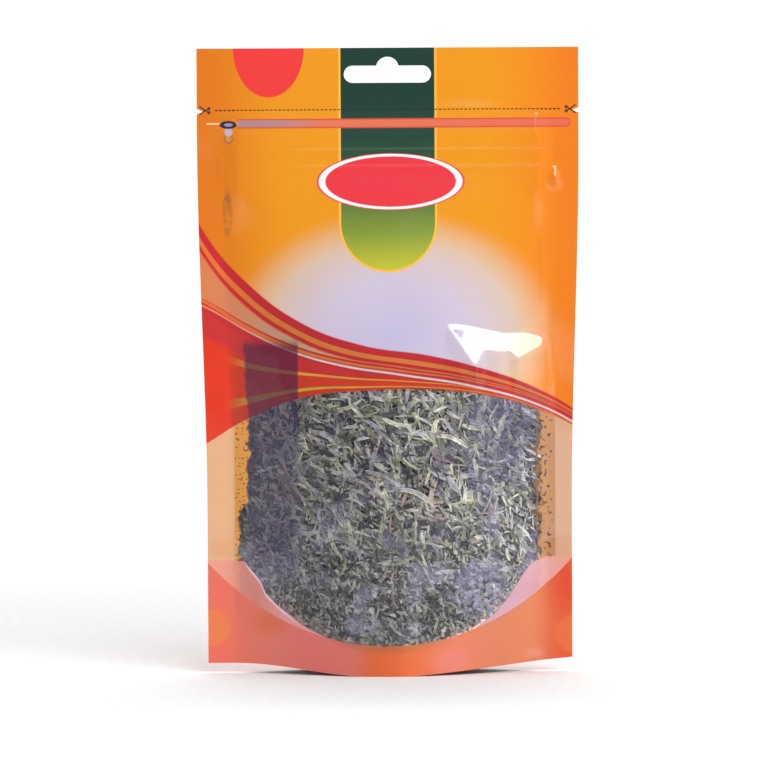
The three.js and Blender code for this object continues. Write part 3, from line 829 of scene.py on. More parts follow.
clear_liner, tree = new_material("clear_polyethylene_liner")
open_film = add(tree, "ShaderNodeBsdfTransparent", (CLEAR,)).outputs[0]
add(tree, "ShaderNodeOutputMaterial", {"Surface": glossed(tree, open_film, crinkle_bump(tree), 1.1)})
print("front laminate:", len(front_laminate.node_tree.nodes), "nodes")

# %% Back laminate
# The back has a plain ground, one bare cream panel and the skirt.
PANEL_HALF_WIDTH, PANEL_LOW_Z, PANEL_TOP_Z, BACK_SKIRT_Z = 46.0, 58.0, 172.0, 44.0
back_laminate, tree = new_material("back_laminate")
places = film_places(tree)
back_colour = paint(tree, linear(GROUND), "#D27000", seam_fade(tree, places))
panel = both(tree, more_than(tree, PANEL_HALF_WIDTH, places["side"]),
             between(tree, PANEL_LOW_Z, places["z"], PANEL_TOP_Z))
back_colour = paint(tree, back_colour, "#F6DFB6", panel)
back_colour = paint(tree, back_colour, "#E5603C", more_than(tree, BACK_SKIRT_Z, places["z"]))
back_surface = printed_surface(tree, back_colour, crinkle_bump(tree))
add(tree, "ShaderNodeOutputMaterial", {"Surface": back_surface})

# The inner face is the back print seen from behind, and paler where the webs are welded without air between.
# It is painted brighter than the back's outer print, as painted light in the shaded gap beside the fill.
back_inside, tree = new_material("back_laminate_inner_face")
places = film_places(tree)
left, right = more_than(tree, -57.0, places["x"], 0.4), more_than(tree, places["x"], 57.6, 0.4)
inside_colour = paint(tree, paint(tree, linear("#FFB44C"), "#FFC890", left), "#DFA065", right)
inside_surface = printed_surface(tree, inside_colour, crinkle_bump(tree))
add(tree, "ShaderNodeOutputMaterial", {"Surface": inside_surface})
print("back:", back_laminate.name, "and", back_inside.name)

# %% Gusset film and zip plastic
gusset_film, tree = new_material("gusset_tinted_film")
gusset_surface = printed_surface(tree, linear("#F6B9BC"), crinkle_bump(tree, 6.0))
add(tree, "ShaderNodeOutputMaterial", {"Surface": gusset_surface})

zip_plastic, tree = new_material("zip_polyethylene")
place = add(tree, "ShaderNodeTexCoord").outputs["Object"]
cloud = add(tree, "ShaderNodeTexNoise", {"Vector": place, "Scale": 160.0}).outputs[0]
milky = add(tree, "ShaderNodeValToRGB", (cloud,), [(0.3, "#E9E4DC"), (0.7, "#F6F2EC")]).outputs[0]
dull = add(tree, "ShaderNodeMapRange", (cloud, 0.0, 1.0, 0.3, 0.45)).outputs[0]
zip_surface = add(tree, "ShaderNodeBsdfPrincipled", {
    "Base Color": milky, "Roughness": dull, "IOR": 1.51}).outputs[0]
add(tree, "ShaderNodeOutputMaterial", {"Surface": zip_surface})
print("film materials ready")

# %% [markdown]
# ## Film panels
# Each panel is one web of film, so it is one mesh: a fine grid bent to the pouch's form, with the film's
# thickness behind it. The hang slot and the tear notches are cut through both webs with the same cutter.

# %% Panel webs
COLUMNS, ROWS = 150, 236
LINER_GAP = 0.01                 # the inner face is this much nearer the outer one than the film is thick


def panel_web(name, side, reach, outer_finish, inner_finish):
    z = np.linspace(0, HEIGHT, ROWS + 1)[:, None]
    x = np.linspace(-1, 1, COLUMNS + 1)[None, :] * half_width(z)
    z = np.broadcast_to(z, x.shape)
    outer = np.stack([x, side * reach(x, z), lifted(x, z)], -1)
    inner = np.stack([x, side * (reach(x, z) - FILM + LINER_GAP), lifted(x, z)], -1)
    if side > 0:
        outer, inner = outer[:, ::-1], inner[:, ::-1]
    web = mesh_object(name, *shell(outer, inner), outer_finish)
    web.data.materials.append(inner_finish)
    # The shell lists its outer faces first and its inner faces next.
    inner_faces = np.zeros(len(web.data.polygons), np.int32)
    inner_faces[ROWS * COLUMNS:2 * ROWS * COLUMNS] = 1
    web.data.polygons.foreach_set("material_index", inner_faces)
    return web


front_film = panel_web("front_film", -1, front_reach, front_laminate, clear_liner)
back_film = panel_web("back_film", 1, back_reach, back_laminate, back_inside)
print("web faces:", len(front_film.data.polygons))

# %% Hang slot and tear notches
SLOT_REACH, SLOT_R, SLOT_Z = 12.85, 3.15, 220.3
BUMP_R, BUMP_Z = 4.2, 222.5
NOTCH_Z, NOTCH_HALF, NOTCH_DEPTH = 206.9, 1.45, 2.2
CUT_REACH = 4.0                  # the cutters pass this far beyond the middle plane, both ways


def arc(centre, radius, start, end, count=14):
    turns = np.radians(np.linspace(start, end, count))
    return [(centre[0] + radius * math.cos(t), centre[1] + radius * math.sin(t)) for t in turns]


def cutter(outline):
    front = np.array([(x, -CUT_REACH, z) for x, z in outline])
    points = np.concatenate([front, front + (0, 2 * CUT_REACH, 0)])
    count = len(outline)
    ends = [tuple(range(count)), tuple(range(2 * count - 1, count - 1, -1))]
    sides = [(k, k + count, (k + 1) % count + count, (k + 1) % count) for k in range(count)]
    return mesh_object("cutter", points, ends + sides)


# An outline runs anticlockwise as seen from the front, so the right notch has its corners in reverse.
def notch(side):
    edge, tip = side * (WIDTH / 2 + 1), side * (WIDTH / 2 - NOTCH_DEPTH)
    corners = [(edge, NOTCH_Z - NOTCH_HALF), (tip, NOTCH_Z), (edge, NOTCH_Z + NOTCH_HALF)]
    return corners[::-side]


lean = math.degrees(math.asin((SLOT_Z + SLOT_R - BUMP_Z) / BUMP_R))
slot_outline = (arc((SLOT_REACH, SLOT_Z), SLOT_R, -90, 90) + arc((0, BUMP_Z), BUMP_R, lean, 180 - lean)
                + arc((-SLOT_REACH, SLOT_Z), SLOT_R, 90, 270))
notches = [notch(side) for side in (1, -1)]


def cut_through(piece, outlines):
    for outline in outlines:
        tool = cutter(outline)
        modifier = piece.modifiers.new("cut", "BOOLEAN")
        modifier.operation, modifier.solver, modifier.object = "DIFFERENCE", "MANIFOLD", tool
        cut = evaluated_mesh(piece)
        piece.modifiers.clear()
        piece.data = cut
        bpy.data.objects.remove(tool)
    return smoothed(piece)


for film_piece in (front_film, back_film):
    cut_through(film_piece, [slot_outline, *notches])
    print(film_piece.name, len(film_piece.data.polygons), "faces after cutting")

# %% [markdown]
# ## Bottom gusset
# The base is a second web, folded upwards. Its lower edges are welded inside the two panels along a curve
# that climbs to the side seals, and its fold stays up in the middle because the fill is light.

# %% Form of the gusset
FOLD_POINT, FOLD_STIFFNESS = 1.85, 0.985      # how pointed the arch is, and its height beside a sharp one's
WELD_GAP = 0.25                                # the web's middle lies this far inside the panel's form


def gusset_seal_z(x):
    across = np.clip(np.abs(x) / inner_half_width(0), 0, 1)
    return GUSSET_SEAL_LOW_Z + (GUSSET_TOP_Z - 0.6 - GUSSET_SEAL_LOW_Z) * across ** SEAL_CURVE_POWER


def gusset_arch(x):
    seal = gusset_seal_z(x)
    span = panel_reach(x, seal) - WELD_GAP
    sharp = np.sqrt(np.clip((GUSSET_TOP_Z - seal) ** 2 - span ** 2, 0, None))
    height = np.maximum(sharp * (1 - (1 - FOLD_STIFFNESS) * step(0, HALF_DEPTH, span)), 0.5)
    return seal, span, height, 1 + (FOLD_POINT - 1) * step(1, 6, span)


def gusset_web(name, material):
    x = np.linspace(-1, 1, 121)[:, None] * (half_width(0) - 0.5)
    seal, span, height, point = gusset_arch(x)
    welded = np.linspace(0, 1, 7)[None, :-1] * seal
    weld_y = -(panel_reach(x, welded) - WELD_GAP)
    turn = np.linspace(0, np.pi, 41)[None, :]
    lean = np.cos(turn)
    arch_y = -span * np.sign(lean) * np.abs(lean) ** point
    arch_z = seal + height * np.clip(np.sin(turn), 0, 1) ** point
    y = np.concatenate([weld_y, arch_y, -weld_y[:, ::-1]], 1)
    z = lifted(x, np.concatenate([welded, arch_z, welded[:, ::-1]], 1))
    along_y, along_z = np.gradient(y, axis=1), np.gradient(z, axis=1)
    length = np.hypot(along_y, along_z) + 1e-9
    x = np.broadcast_to(x, y.shape)
    faces = []
    for offset in (FILM / 2, -FILM / 2):
        faces.append(np.stack([x, y - offset * along_z / length, z + offset * along_y / length], -1))
    return smoothed(mesh_object(name, *shell(*faces), material), 60)


gusset = gusset_web("gusset_web", gusset_film)
print("gusset faces:", len(gusset.data.polygons))

# %% [markdown]
# ## Chive pieces
# Dried chives are short lengths of hollow leaf that have split, flattened and curled. Some forty different
# pieces are enough: each is a thin closed strip with a cupped section, a curl along it and torn ends.
# Crumbs are the same strip, small and with very few faces, because there are thousands of them. Each
# range below is in millimetres, and each piece is a seeded draw from them.

# %% Shapes of single pieces
END_TAPER, EDGE_WEAR, END_SLANT, SIDE_BEND, CRUMPLE = 0.35, 0.1, 0.35, 0.17, 0.10     # shares of a size


def strip_piece(name, length, width, cup, curl, twist, rows, columns, thick, rng):
    s = np.linspace(-0.5, 0.5, rows + 1)[:, None]
    t = np.linspace(-1, 1, columns + 1)[None, :]
    half = width / 2 * (1 - END_TAPER * np.abs(2 * s) ** 6) * (1 + EDGE_WEAR * rng.uniform(-1, 1, s.shape))
    x = length * s + width * END_SLANT * t * rng.uniform(-1, 1)
    y = half * t + length * SIDE_BEND * rng.uniform(-1, 1) * (4 * s * s)
    dents = CRUMPLE * width * rng.uniform(-1, 1, (rows + 1, columns + 1))
    z = cup * half * t * t + curl * 4 * s * s + dents
    angle = twist * s
    y, z = y * np.cos(angle) - z * np.sin(angle), y * np.sin(angle) + z * np.cos(angle)
    top = np.stack([x, y, z], -1)
    piece = mesh_object(name, *shell(top, top - (0, 0, thick)))
    across = piece.data.attributes.new("leaf_across", "FLOAT", "POINT")
    across.data.foreach_set("value", np.tile((t + 0 * s).ravel(), 2).astype(np.float32))
    return piece


TWIST = (-1.6, 1.6)              # from end to end, in radians


def piece_family(name, count, lengths, widths, cup, curl, rows, columns, thick, seed):
    rng = np.random.default_rng(seed)
    family = bpy.data.collections.new(name)
    bpy.context.scene.collection.children.link(family)
    for k in range(count):
        sizes = [rng.uniform(*bounds) for bounds in (lengths, widths, cup, curl, TWIST)]
        piece = strip_piece(f"{name}_{k}", *sizes, rows, columns, thick, rng)
        bpy.context.scene.collection.objects.unlink(piece)
        family.objects.link(piece)
    return family


leaf_family = piece_family("leaf_shape", 20, (7, 18), (0.8, 2.4), (-1.0, 1.1), (-1.1, 1.3), 5, 2, 0.14, 3)
stem_family = piece_family("stem_shape", 5, (7, 13), (0.6, 1.1), (0.4, 0.9), (-0.8, 0.8), 4, 2, 0.3, 5)
bit_family = piece_family("bit_shape", 9, (3.5, 10), (0.6, 1.4), (-0.6, 0.7), (-0.4, 0.5), 3, 2, 0.14, 8)
crumb_family = piece_family("crumb_shape", 8, (1.1, 2.6), (0.5, 1.2), (-0.4, 0.4), (-0.2, 0.3), 2, 1, 0.2, 13)

# %% [markdown]
# ## Dried leaf material
# Dried chives are matt and grey-green, with pale inner faces, straw-coloured stems and a few brown bits.
# Every piece keeps one random tone, fine veins run along it, and noise mottles it. The veins' colour stripes
# and the lighter edges are painted shade and light of its ribs and cupping, and deeper pieces are painted
# darker, as painted shade.

# %% Dried leaf
DEPTH_SHADE_INK = "#17143A"            # painted shade: the fill darkens towards this colour with depth
VEINS = 9.0                      # how fast the veins follow each other across a leaf, in radians
VEIN_SHADE, EDGE_LIGHT = 0.17, 0.16
VEIN_DEPTH = 0.06                # in millimetres


def leaf_material(name, tones, vein_strength):
    material, tree = new_material(name)
    tone = add(tree, "ShaderNodeAttribute", attribute_name="tone").outputs["Fac"]
    buried = add(tree, "ShaderNodeAttribute", attribute_name="buried").outputs["Fac"]
    across = add(tree, "ShaderNodeAttribute", attribute_name="leaf_across").outputs["Fac"]
    place = add(tree, "ShaderNodeTexCoord").outputs["Object"]
    mottle = add(tree, "ShaderNodeTexNoise", {
        "Vector": place, "Scale": 1 / (2.2 * MM), "Detail": 3.0}).outputs[0]
    base = add(tree, "ShaderNodeValToRGB", (tone,), tones).outputs[0]
    vein = add(tree, "ShaderNodeMath", (across, VEINS), operation="MULTIPLY").outputs[0]
    vein = add(tree, "ShaderNodeMath", (vein,), operation="SINE").outputs[0]
    relief = add(tree, "ShaderNodeMath", (vein, 0.5, mottle), operation="MULTIPLY_ADD").outputs[0]
    # The stripes along the veins and the lighter edges are painted shade and light of the ribs and cupping.
    striped = add(tree, "ShaderNodeMath", (vein, VEIN_SHADE, mottle), operation="MULTIPLY_ADD").outputs[0]
    edge = both(tree, across, across)
    striped = add(tree, "ShaderNodeMath", (edge, EDGE_LIGHT, striped), operation="MULTIPLY_ADD").outputs[0]
    shade = add(tree, "ShaderNodeMapRange", (striped, 0.32, 0.82, 0.5, 1.36)).outputs[0]
    lit = add(tree, "ShaderNodeMix", {
        0: 1.0, 6: base, 7: shade}, data_type="RGBA", blend_type="MULTIPLY").outputs[2]
    # Deeper pieces are painted darker, as painted shade.
    deep = add(tree, "ShaderNodeMapRange", (buried, 0.25, 0.75, 0.0, 0.85)).outputs[0]
    lit = paint(tree, lit, DEPTH_SHADE_INK, deep)
    bump = add(tree, "ShaderNodeBump", {
        "Height": relief, "Distance": VEIN_DEPTH * MM, "Strength": vein_strength}).outputs[0]
    rough = add(tree, "ShaderNodeMapRange", (mottle, 0.0, 1.0, 0.5, 0.8)).outputs[0]
    surface = add(tree, "ShaderNodeBsdfPrincipled", {
        "Base Color": lit, "Roughness": rough, "Normal": bump, "IOR": 1.45}).outputs[0]
    add(tree, "ShaderNodeOutputMaterial", {"Surface": surface})
    return material


LEAF_TONES = [(0.0, "#46474A"), (0.14, "#6C6D70"), (0.3, "#A2A684"), (0.42, "#B6B5C6"), (0.55, "#CDCEA6"),
              (0.68, "#D6D5E4"), (0.8, "#EBE9D0"), (0.94, "#F6F5F0"), (0.97, "#E4D0C6"), (1.0, "#BF9C94")]
CRUMB_TONES = [(0.0, "#454643"), (0.25, "#777870"), (0.45, "#A8A99F"), (0.72, "#D2D2C8"), (0.95, "#F1F0E9"),
               (1.0, "#D2B8AE")]
dried_leaf = leaf_material("dried_chive_leaf", LEAF_TONES, 0.6)
dried_crumb = leaf_material("dried_chive_crumb", CRUMB_TONES, 0.3)
dried_stem = leaf_material("dried_chive_stem", [(0.0, "#DAD6BC"), (1.0, "#F6F1DC")], 0.5)
print("leaf materials ready")

# %% [markdown]
# ## The fill
# The pieces lie in a layer a few millimetres deep just inside the film, over a core that fills the rest and
# is painted near black, as painted shade. Points are scattered on a bed inside the film, each takes a random
# piece, and each is turned about the film's face and tipped a little. Larger pieces rise to the top of such a
# pouch and crumbs sink.

# %% Beds for the pieces
BED_CELLS = 61
BED_LOW_Z = 9.0


def fill_half_width(z):
    return inner_half_width(z) - 0.5


# A sheet just inside one film, from the welded curve up to the fill's top.
def fill_bed(name, side, inset):
    x = np.linspace(-1, 1, BED_CELLS)[None, :] * fill_half_width(np.full((1, 1), 80.0))
    bottom = np.maximum(fill_foot(x) - 0.2, BED_LOW_Z)
    z = bottom + np.linspace(0, 1, BED_CELLS)[:, None] * (FILL_TOP_Z - bottom)
    x = np.broadcast_to(x, z.shape)
    relief = heap_fold(x, z) if side < 0 else 0
    y = side * np.clip(panel_reach(x, z) + relief - inset, 0.2, None)
    _, quads = grid_faces(*x.shape)
    if side > 0:
        quads = quads[:, ::-1]
    return mesh_object(name, np.stack([x, y, z], -1).reshape(-1, 3), quads), x, z


print("beds ready")

# %% Core of the fill
CORE_INSET = 2.6
CORE_SIDES = (50.6, 52.4)        # the core's grid ends here at the left and right, before it is stretched
WEB_MARGIN = 0.16                # between the core and the gusset
# The core's near-black violet is painted shade.
CORE_SHADE_INK = [(0.0, "#201E34"), (1.0, "#28263A")]


def arch_half_depth(x, z):
    seal, span, height, point = gusset_arch(x)
    rise = np.clip((z - seal) / height, 0, 1)
    return span * np.clip(1 - rise ** (2 / point), 0, 1) ** (point / 2)


# On the left the fill draws in near its top, and on the right it leans out there.
def side_of_fill(x, z):
    return np.where(x < 0, 54.8 - 4.6 * step(56, 66, z), 53.6 + 1.8 * step(84, 92, z))


def fill_core(name, material):
    x = np.linspace(-CORE_SIDES[0], CORE_SIDES[1], 101)[:, None]
    rise = np.linspace(0, 1, 41)[None, :]
    guess = fill_foot(x) + rise ** 1.5 * (FILL_TOP_Z - fill_foot(x))
    stretch = side_of_fill(x, guess) - 2.0 - np.where(x < 0, *CORE_SIDES)
    x = x + np.sign(x) * stretch * step(38, 50, np.abs(x))
    seal, _, height, _ = gusset_arch(x)
    low = np.minimum(fill_foot(x) + 0.3, seal + height)
    z = low + rise ** 1.5 * (FILL_TOP_Z - 2.5 - low)
    web = arch_half_depth(x, z) + WEB_MARGIN
    depth = np.clip(panel_reach(x, z) - CORE_INSET, web + 0.14, None)
    inner = np.where(z < seal + height, np.minimum(web, depth - 0.05), 0.0)
    x = np.broadcast_to(x, z.shape)
    halves = []
    for side, end in ((-1, "front"), (1, "back")):
        faces = [np.stack([x, side * y, z], -1)[:, ::-side] for y in (depth, inner)]
        halves.append(mesh_object(f"{name}_{end}", *shell(*faces), material))
    return halves


core_material = leaf_material("chive_core_painted_shade", CORE_SHADE_INK, 0.6)
cores = fill_core("chive_core", core_material)
print("core pieces:", [core.name for core in cores])

# %% Tools for node trees that grow a mesh
def input_id(tree, name):
    return next(item.identifier for item in tree.interface.items_tree
                if item.name == name and item.in_out == "INPUT")


def growing_tree(name, inputs):
    tree = bpy.data.node_groups.new(name, "GeometryNodeTree")
    for label, kind in {"Geometry": "Geometry", **inputs}.items():
        tree.interface.new_socket(label, in_out="INPUT", socket_type=f"NodeSocket{kind}")
    tree.interface.new_socket("Geometry", in_out="OUTPUT", socket_type="NodeSocketGeometry")
    return tree, add(tree, "NodeGroupInput").outputs


# Every tree ends alike: its instances become real mesh and take their material.
def end_tree(tree, instances, material):
    real = add(tree, "GeometryNodeRealizeInstances", {0: instances})
    coloured = add(tree, "GeometryNodeSetMaterial", {"Geometry": real.outputs[0], "Material": material})
    add(tree, "NodeGroupOutput", {0: coloured.outputs[0]})
    return tree


# The mesh that a tree makes from a carrier becomes a piece of its own, and the carrier goes.
def grow(name, carrier, tree, inputs):
    modifier = carrier.modifiers.new("grow", "NODES")
    modifier.node_group = tree
    for label, value in inputs.items():
        modifier[input_id(tree, label)] = value
    piece = bpy.data.objects.new(name, evaluated_mesh(carrier))
    bpy.context.scene.collection.objects.link(piece)
    bpy.data.objects.remove(carrier)
    return piece


print("tools for node trees ready")

# %% Scattering tree
# Poured pieces slide down the heap, so more of them lie down to the right than across it.
LIE, LIE_SPREAD = math.radians(-50), math.radians(68)
SCATTER_INPUTS = {"Density": "Float", "Depth": "Float", "Tip": "Float", "Smallest": "Float",
                  "Largest": "Float", "Seed": "Int"}


def scatter_tree(name, family, material):
    tree, given = growing_tree(name, SCATTER_INPUTS)
    weight = add(tree, "GeometryNodeInputNamedAttribute", {"Name": "weight"}, data_type="FLOAT").outputs[0]
    density = add(tree, "ShaderNodeMath", (weight, given["Density"]), operation="MULTIPLY").outputs[0]
    spread = add(tree, "GeometryNodeDistributePointsOnFaces", {
        "Mesh": given["Geometry"], "Density": density, "Seed": given["Seed"]},
        distribute_method="RANDOM").outputs
    # Each point sinks below the bed by a random depth, and keeps that depth as a share.
    sink = add(tree, "FunctionNodeRandomValue", {
        "Min": 0.0, "Max": given["Depth"], "Seed": 1}, data_type="FLOAT").outputs[1]
    rise = add(tree, "ShaderNodeMath", (sink, -1.0), operation="MULTIPLY").outputs[0]
    offset = add(tree, "ShaderNodeVectorMath", {
        0: spread["Normal"], "Scale": rise}, operation="SCALE").outputs[0]
    buried = add(tree, "ShaderNodeMath", (sink, given["Depth"]), operation="DIVIDE").outputs[0]
    noted = add(tree, "GeometryNodeStoreNamedAttribute", {
        "Geometry": spread["Points"], "Name": "buried", "Value": buried}, data_type="FLOAT",
        domain="POINT").outputs[0]
    placed = add(tree, "GeometryNodeSetPosition", {"Geometry": noted, "Offset": offset}).outputs[0]
    # It is tipped a little either way, and turned about the film's face.
    tip = given["Tip"]
    back = add(tree, "ShaderNodeMath", (tip, -1.0), operation="MULTIPLY").outputs[0]
    low = add(tree, "ShaderNodeCombineXYZ", {0: back, 1: back, 2: LIE - LIE_SPREAD}).outputs[0]
    high = add(tree, "ShaderNodeCombineXYZ", {0: tip, 1: tip, 2: LIE + LIE_SPREAD}).outputs[0]
    turn = add(tree, "FunctionNodeRandomValue", {
        0: low, 1: high, "Seed": 2}, data_type="FLOAT_VECTOR").outputs[0]
    spin = add(tree, "FunctionNodeEulerToRotation", {0: turn}).outputs[0]
    facing = add(tree, "FunctionNodeRotateRotation", {
        "Rotation": spread["Rotation"], "Rotate By": spin}, rotation_space="LOCAL").outputs[0]
    size = add(tree, "FunctionNodeRandomValue", {
        "Min": given["Smallest"], "Max": given["Largest"], "Seed": 3}, data_type="FLOAT").outputs[1]
    shapes = add(tree, "GeometryNodeCollectionInfo", {
        "Collection": family, "Separate Children": True, "Reset Children": True})
    strewn = add(tree, "GeometryNodeInstanceOnPoints", {
        "Points": placed, "Instance": shapes.outputs[0], "Pick Instance": True,
        "Rotation": facing, "Scale": size})
    tone = add(tree, "FunctionNodeRandomValue", {
        "Min": 0.0, "Max": 1.0, "Seed": 4}, data_type="FLOAT").outputs[1]
    toned = add(tree, "GeometryNodeStoreNamedAttribute", {
        "Geometry": strewn.outputs[0], "Name": "tone", "Value": tone}, data_type="FLOAT",
        domain="INSTANCE").outputs[0]
    return end_tree(tree, toned, material)


print("scattering takes:", ", ".join(SCATTER_INPUTS))

# %% Scattering a family over a bed
def scatter(name, bed, weights, tree, inputs):
    weight = bed.data.attributes.new("weight", "FLOAT", "POINT")
    weight.data.foreach_set("value", np.clip(weights, 0, None).ravel().astype(np.float32))
    return grow(name, bed, tree, inputs)


# Pieces that would pass through the film or the gusset are pressed flat against it instead.
PRESS_SOFTNESS = 0.16            # how gently, in millimetres


def press_inside(piece, side):
    x, y, z = corners_of(piece)
    z = np.clip(z, np.maximum(fill_foot(x) - 0.6, gusset_seal_z(x) + 0.3), FILL_TOP_Z + 4)
    x = np.clip(x, -(inner_half_width(z) - 0.3), inner_half_width(z) - 0.3)
    limit = panel_reach(x, z) + (front_relief(x, z) if side < 0 else back_relief(x, z)) - 0.06
    room = PRESS_SOFTNESS * np.logaddexp(0, (limit - side * y) / PRESS_SOFTNESS)
    depth = np.maximum(limit - room, np.minimum(arch_half_depth(x, z) + 0.2, limit - 0.02))
    return move_corners(piece, x, side * depth, z)


print("scattering ready")

# %% Leaves, stems, bits and crumbs
def strewn_layer(name, side, family_tree, inset, weight_of, **inputs):
    bed, x, z = fill_bed(f"{name}_bed", side, inset)
    piece = press_inside(scatter(name, bed, weight_of(x, z), family_tree, inputs), side)
    print(name, len(piece.data.polygons), "faces")
    return piece


leaf_tree = scatter_tree("strewn_leaves", leaf_family, dried_leaf)
stem_tree = scatter_tree("strewn_stems", stem_family, dried_stem)
bit_tree = scatter_tree("strewn_bits", bit_family, dried_leaf)
crumb_tree = scatter_tree("strewn_crumbs", crumb_family, dried_crumb)


# Long pieces keep further from the side, so that only their ends reach it.
SIDE_WAVES = ((5, 23), (16, 24))     # wavelength in millimetres, and seed


def ragged_side(x, z, stray=0.0, room=0.0):
    edge = side_of_fill(x, z) - room + sum(ripples(0 * x, z + x, *wave) for wave in SIDE_WAVES)
    return 1 - (1 - stray) * step(edge - 0.4, edge + 0.4, np.abs(x))


# Fine stuff packs close where the film and the gusset meet.
def packed(x, z):
    return 1 + 1.6 * (1 - step(0, 4, z - fill_foot(x)))


# The share of large pieces grows from the fine stuff at the foot of the heap to its top, more so on the
# right, where the heap was poured.
def coarse(x, z):
    return step(34, 66, z + 0.2 * x - 4 + 6 * ripples(x, z, 30, 21))


def high_up(x, z):
    return coarse(x, z) * ragged_side(x, z, 0.05, 2.6)


def low_down(x, z):
    return (1 - 0.8 * coarse(x, z - 4)) * ragged_side(x, z, 0.3) * packed(x, z)


def everywhere(x, z):
    return (0.45 + 0.55 * coarse(x, z + 8)) * ragged_side(x, z, 0.08, 1.2)


# Densities are pieces per square metre. The back, which no window shows, gets fewer.
layers = []
for side, share, end in ((-1, 1.0, "front"), (1, 0.3, "back")):
    layers += [
        strewn_layer(f"chive_leaves_{end}", side, leaf_tree, 0.5, high_up, Density=270e3 * share,
                     Depth=2.8 * MM, Tip=0.38, Smallest=0.55, Largest=1.1, Seed=31),
        strewn_layer(f"chive_stems_{end}", side, stem_tree, 0.8, high_up, Density=7e3 * share, Depth=1.6 * MM,
                     Tip=0.3, Smallest=0.6, Largest=1.0, Seed=37),
        strewn_layer(f"chive_bits_{end}", side, bit_tree, 0.5, everywhere, Density=250e3 * share,
                     Depth=2.6 * MM, Tip=0.5, Smallest=0.55, Largest=1.1, Seed=41),
        strewn_layer(f"chive_crumbs_{end}", side, crumb_tree, 0.4, low_down, Density=1350e3 * share,
                     Depth=2.2 * MM, Tip=0.7, Smallest=0.55, Largest=1.15, Seed=43),
    ]

# %% Put away the shapes that the trees used
for family in (leaf_family, stem_family, bit_family, crumb_family):
    for shape in list(family.objects):
        bpy.data.objects.remove(shape)
    bpy.data.collections.remove(family)

# %% [markdown]
# ## Printed marks on the header
# A row of dashes shows where to tear, between two small crossed marks at the notches. They are thin ink
# shapes laid on the film, so that they stay crisp close up. The dashes repeat, so a node tree makes them.

# %% Ink
def ink_material(name, colour):
    material, tree = new_material(name)
    place = add(tree, "ShaderNodeTexCoord").outputs["Object"]
    grain = add(tree, "ShaderNodeTexNoise", {"Vector": place, "Scale": 3000.0}).outputs[0]
    rough = add(tree, "ShaderNodeMapRange", (grain, 0.0, 1.0, 0.5, 0.65)).outputs[0]
    surface = add(tree, "ShaderNodeBsdfPrincipled", {
        "Base Color": linear(colour), "Roughness": rough, "Specular IOR Level": 0.3}).outputs[0]
    add(tree, "ShaderNodeOutputMaterial", {"Surface": surface})
    return material


black_ink = ink_material("black_print_ink", "#140B08")


# A flat shape drawn at Y = 0 is moved onto the front film's outer face.
def settle_on_front(piece):
    x, y, z = corners_of(piece)
    return move_corners(piece, x, y - front_reach(x, z), z)


print("ink:", black_ink.name)

# %% Tear line
INK_HEIGHT = 0.03
TEAR_Z, TEAR_HALF = 207.3, 62.8
DASH_PITCH, DASH_LENGTH, DASH_WIDTH = 1.55, 0.95, 0.5
DASH_INPUTS = {"Count": "Int", "Pitch": "Float", "Dash": "Vector", "Start": "Vector"}


def dash_tree(material):
    tree, given = growing_tree("printed_dashes", DASH_INPUTS)
    stride = add(tree, "ShaderNodeCombineXYZ", {0: given["Pitch"]}).outputs[0]
    row = add(tree, "GeometryNodeMeshLine", {
        "Count": given["Count"], "Start Location": given["Start"], "Offset": stride}).outputs[0]
    dash = add(tree, "GeometryNodeMeshCube", {"Size": given["Dash"]}).outputs[0]
    dashes = add(tree, "GeometryNodeInstanceOnPoints", {"Points": row, "Instance": dash}).outputs[0]
    return end_tree(tree, dashes, material)


def dash_row(name, tree):
    carrier = mesh_object(f"{name}_carrier", [(0, 0, 0)], [])
    start = (-TEAR_HALF, -INK_HEIGHT / 2, TEAR_Z)
    return settle_on_front(grow(name, carrier, tree, {
        "Count": round(2 * TEAR_HALF / DASH_PITCH) + 1, "Pitch": DASH_PITCH * MM,
        "Dash": [v * MM for v in (DASH_LENGTH, INK_HEIGHT, DASH_WIDTH)], "Start": [v * MM for v in start]}))


tear_line = dash_row("tear_line_dashes", dash_tree(black_ink))
print("dashes:", len(tear_line.data.polygons) // 6)

# %% Flat shapes of ink
# A shape is a list of pairs of lines, each with an outer and an inner edge. A ring's lines close on
# themselves and a stroke's don't. Later pairs lie a little higher, so that no two faces share a plane.
LAYER_RISE = 0.15


def flat_ring(centre, outer, inner, count=16):
    turns = np.linspace(0, 2 * np.pi, count, endpoint=False)
    around = np.stack([np.cos(turns), np.sin(turns)], -1)
    return [np.asarray(centre) + radius * around for radius in (outer, inner)]


def flat_stroke(start, end, width):
    start, end = np.asarray(start, float), np.asarray(end, float)
    steps = np.linspace(0, 1, 6)[:, None]
    across = np.array([start[1] - end[1], end[0] - start[0]]) / math.dist(start, end) * width / 2
    middle_line = start + steps * (end - start)
    return [middle_line + across, middle_line - across]


# The four edge lines of one pair: the outer and inner line on top, then the same two below.
def edge_lines(pair, top):
    return [np.stack([line[:, 0], np.full(len(line), y), line[:, 1]], -1) for y in (top, 0) for line in pair]


def pair_faces(count, first, ring):
    def corner(line, k):
        return first + line * count + k % count

    spans = range(count if ring else count - 1)
    faces = [(corner(a, k), corner(b, k), corner(b, k + 1), corner(a, k + 1))
             for a, b in ((0, 1), (1, 3), (3, 2), (2, 0)) for k in spans]
    if not ring:
        faces += [tuple(corner(line, 0) for line in (0, 2, 3, 1)),
                  tuple(corner(line, count - 1) for line in (0, 1, 3, 2))]
    return faces


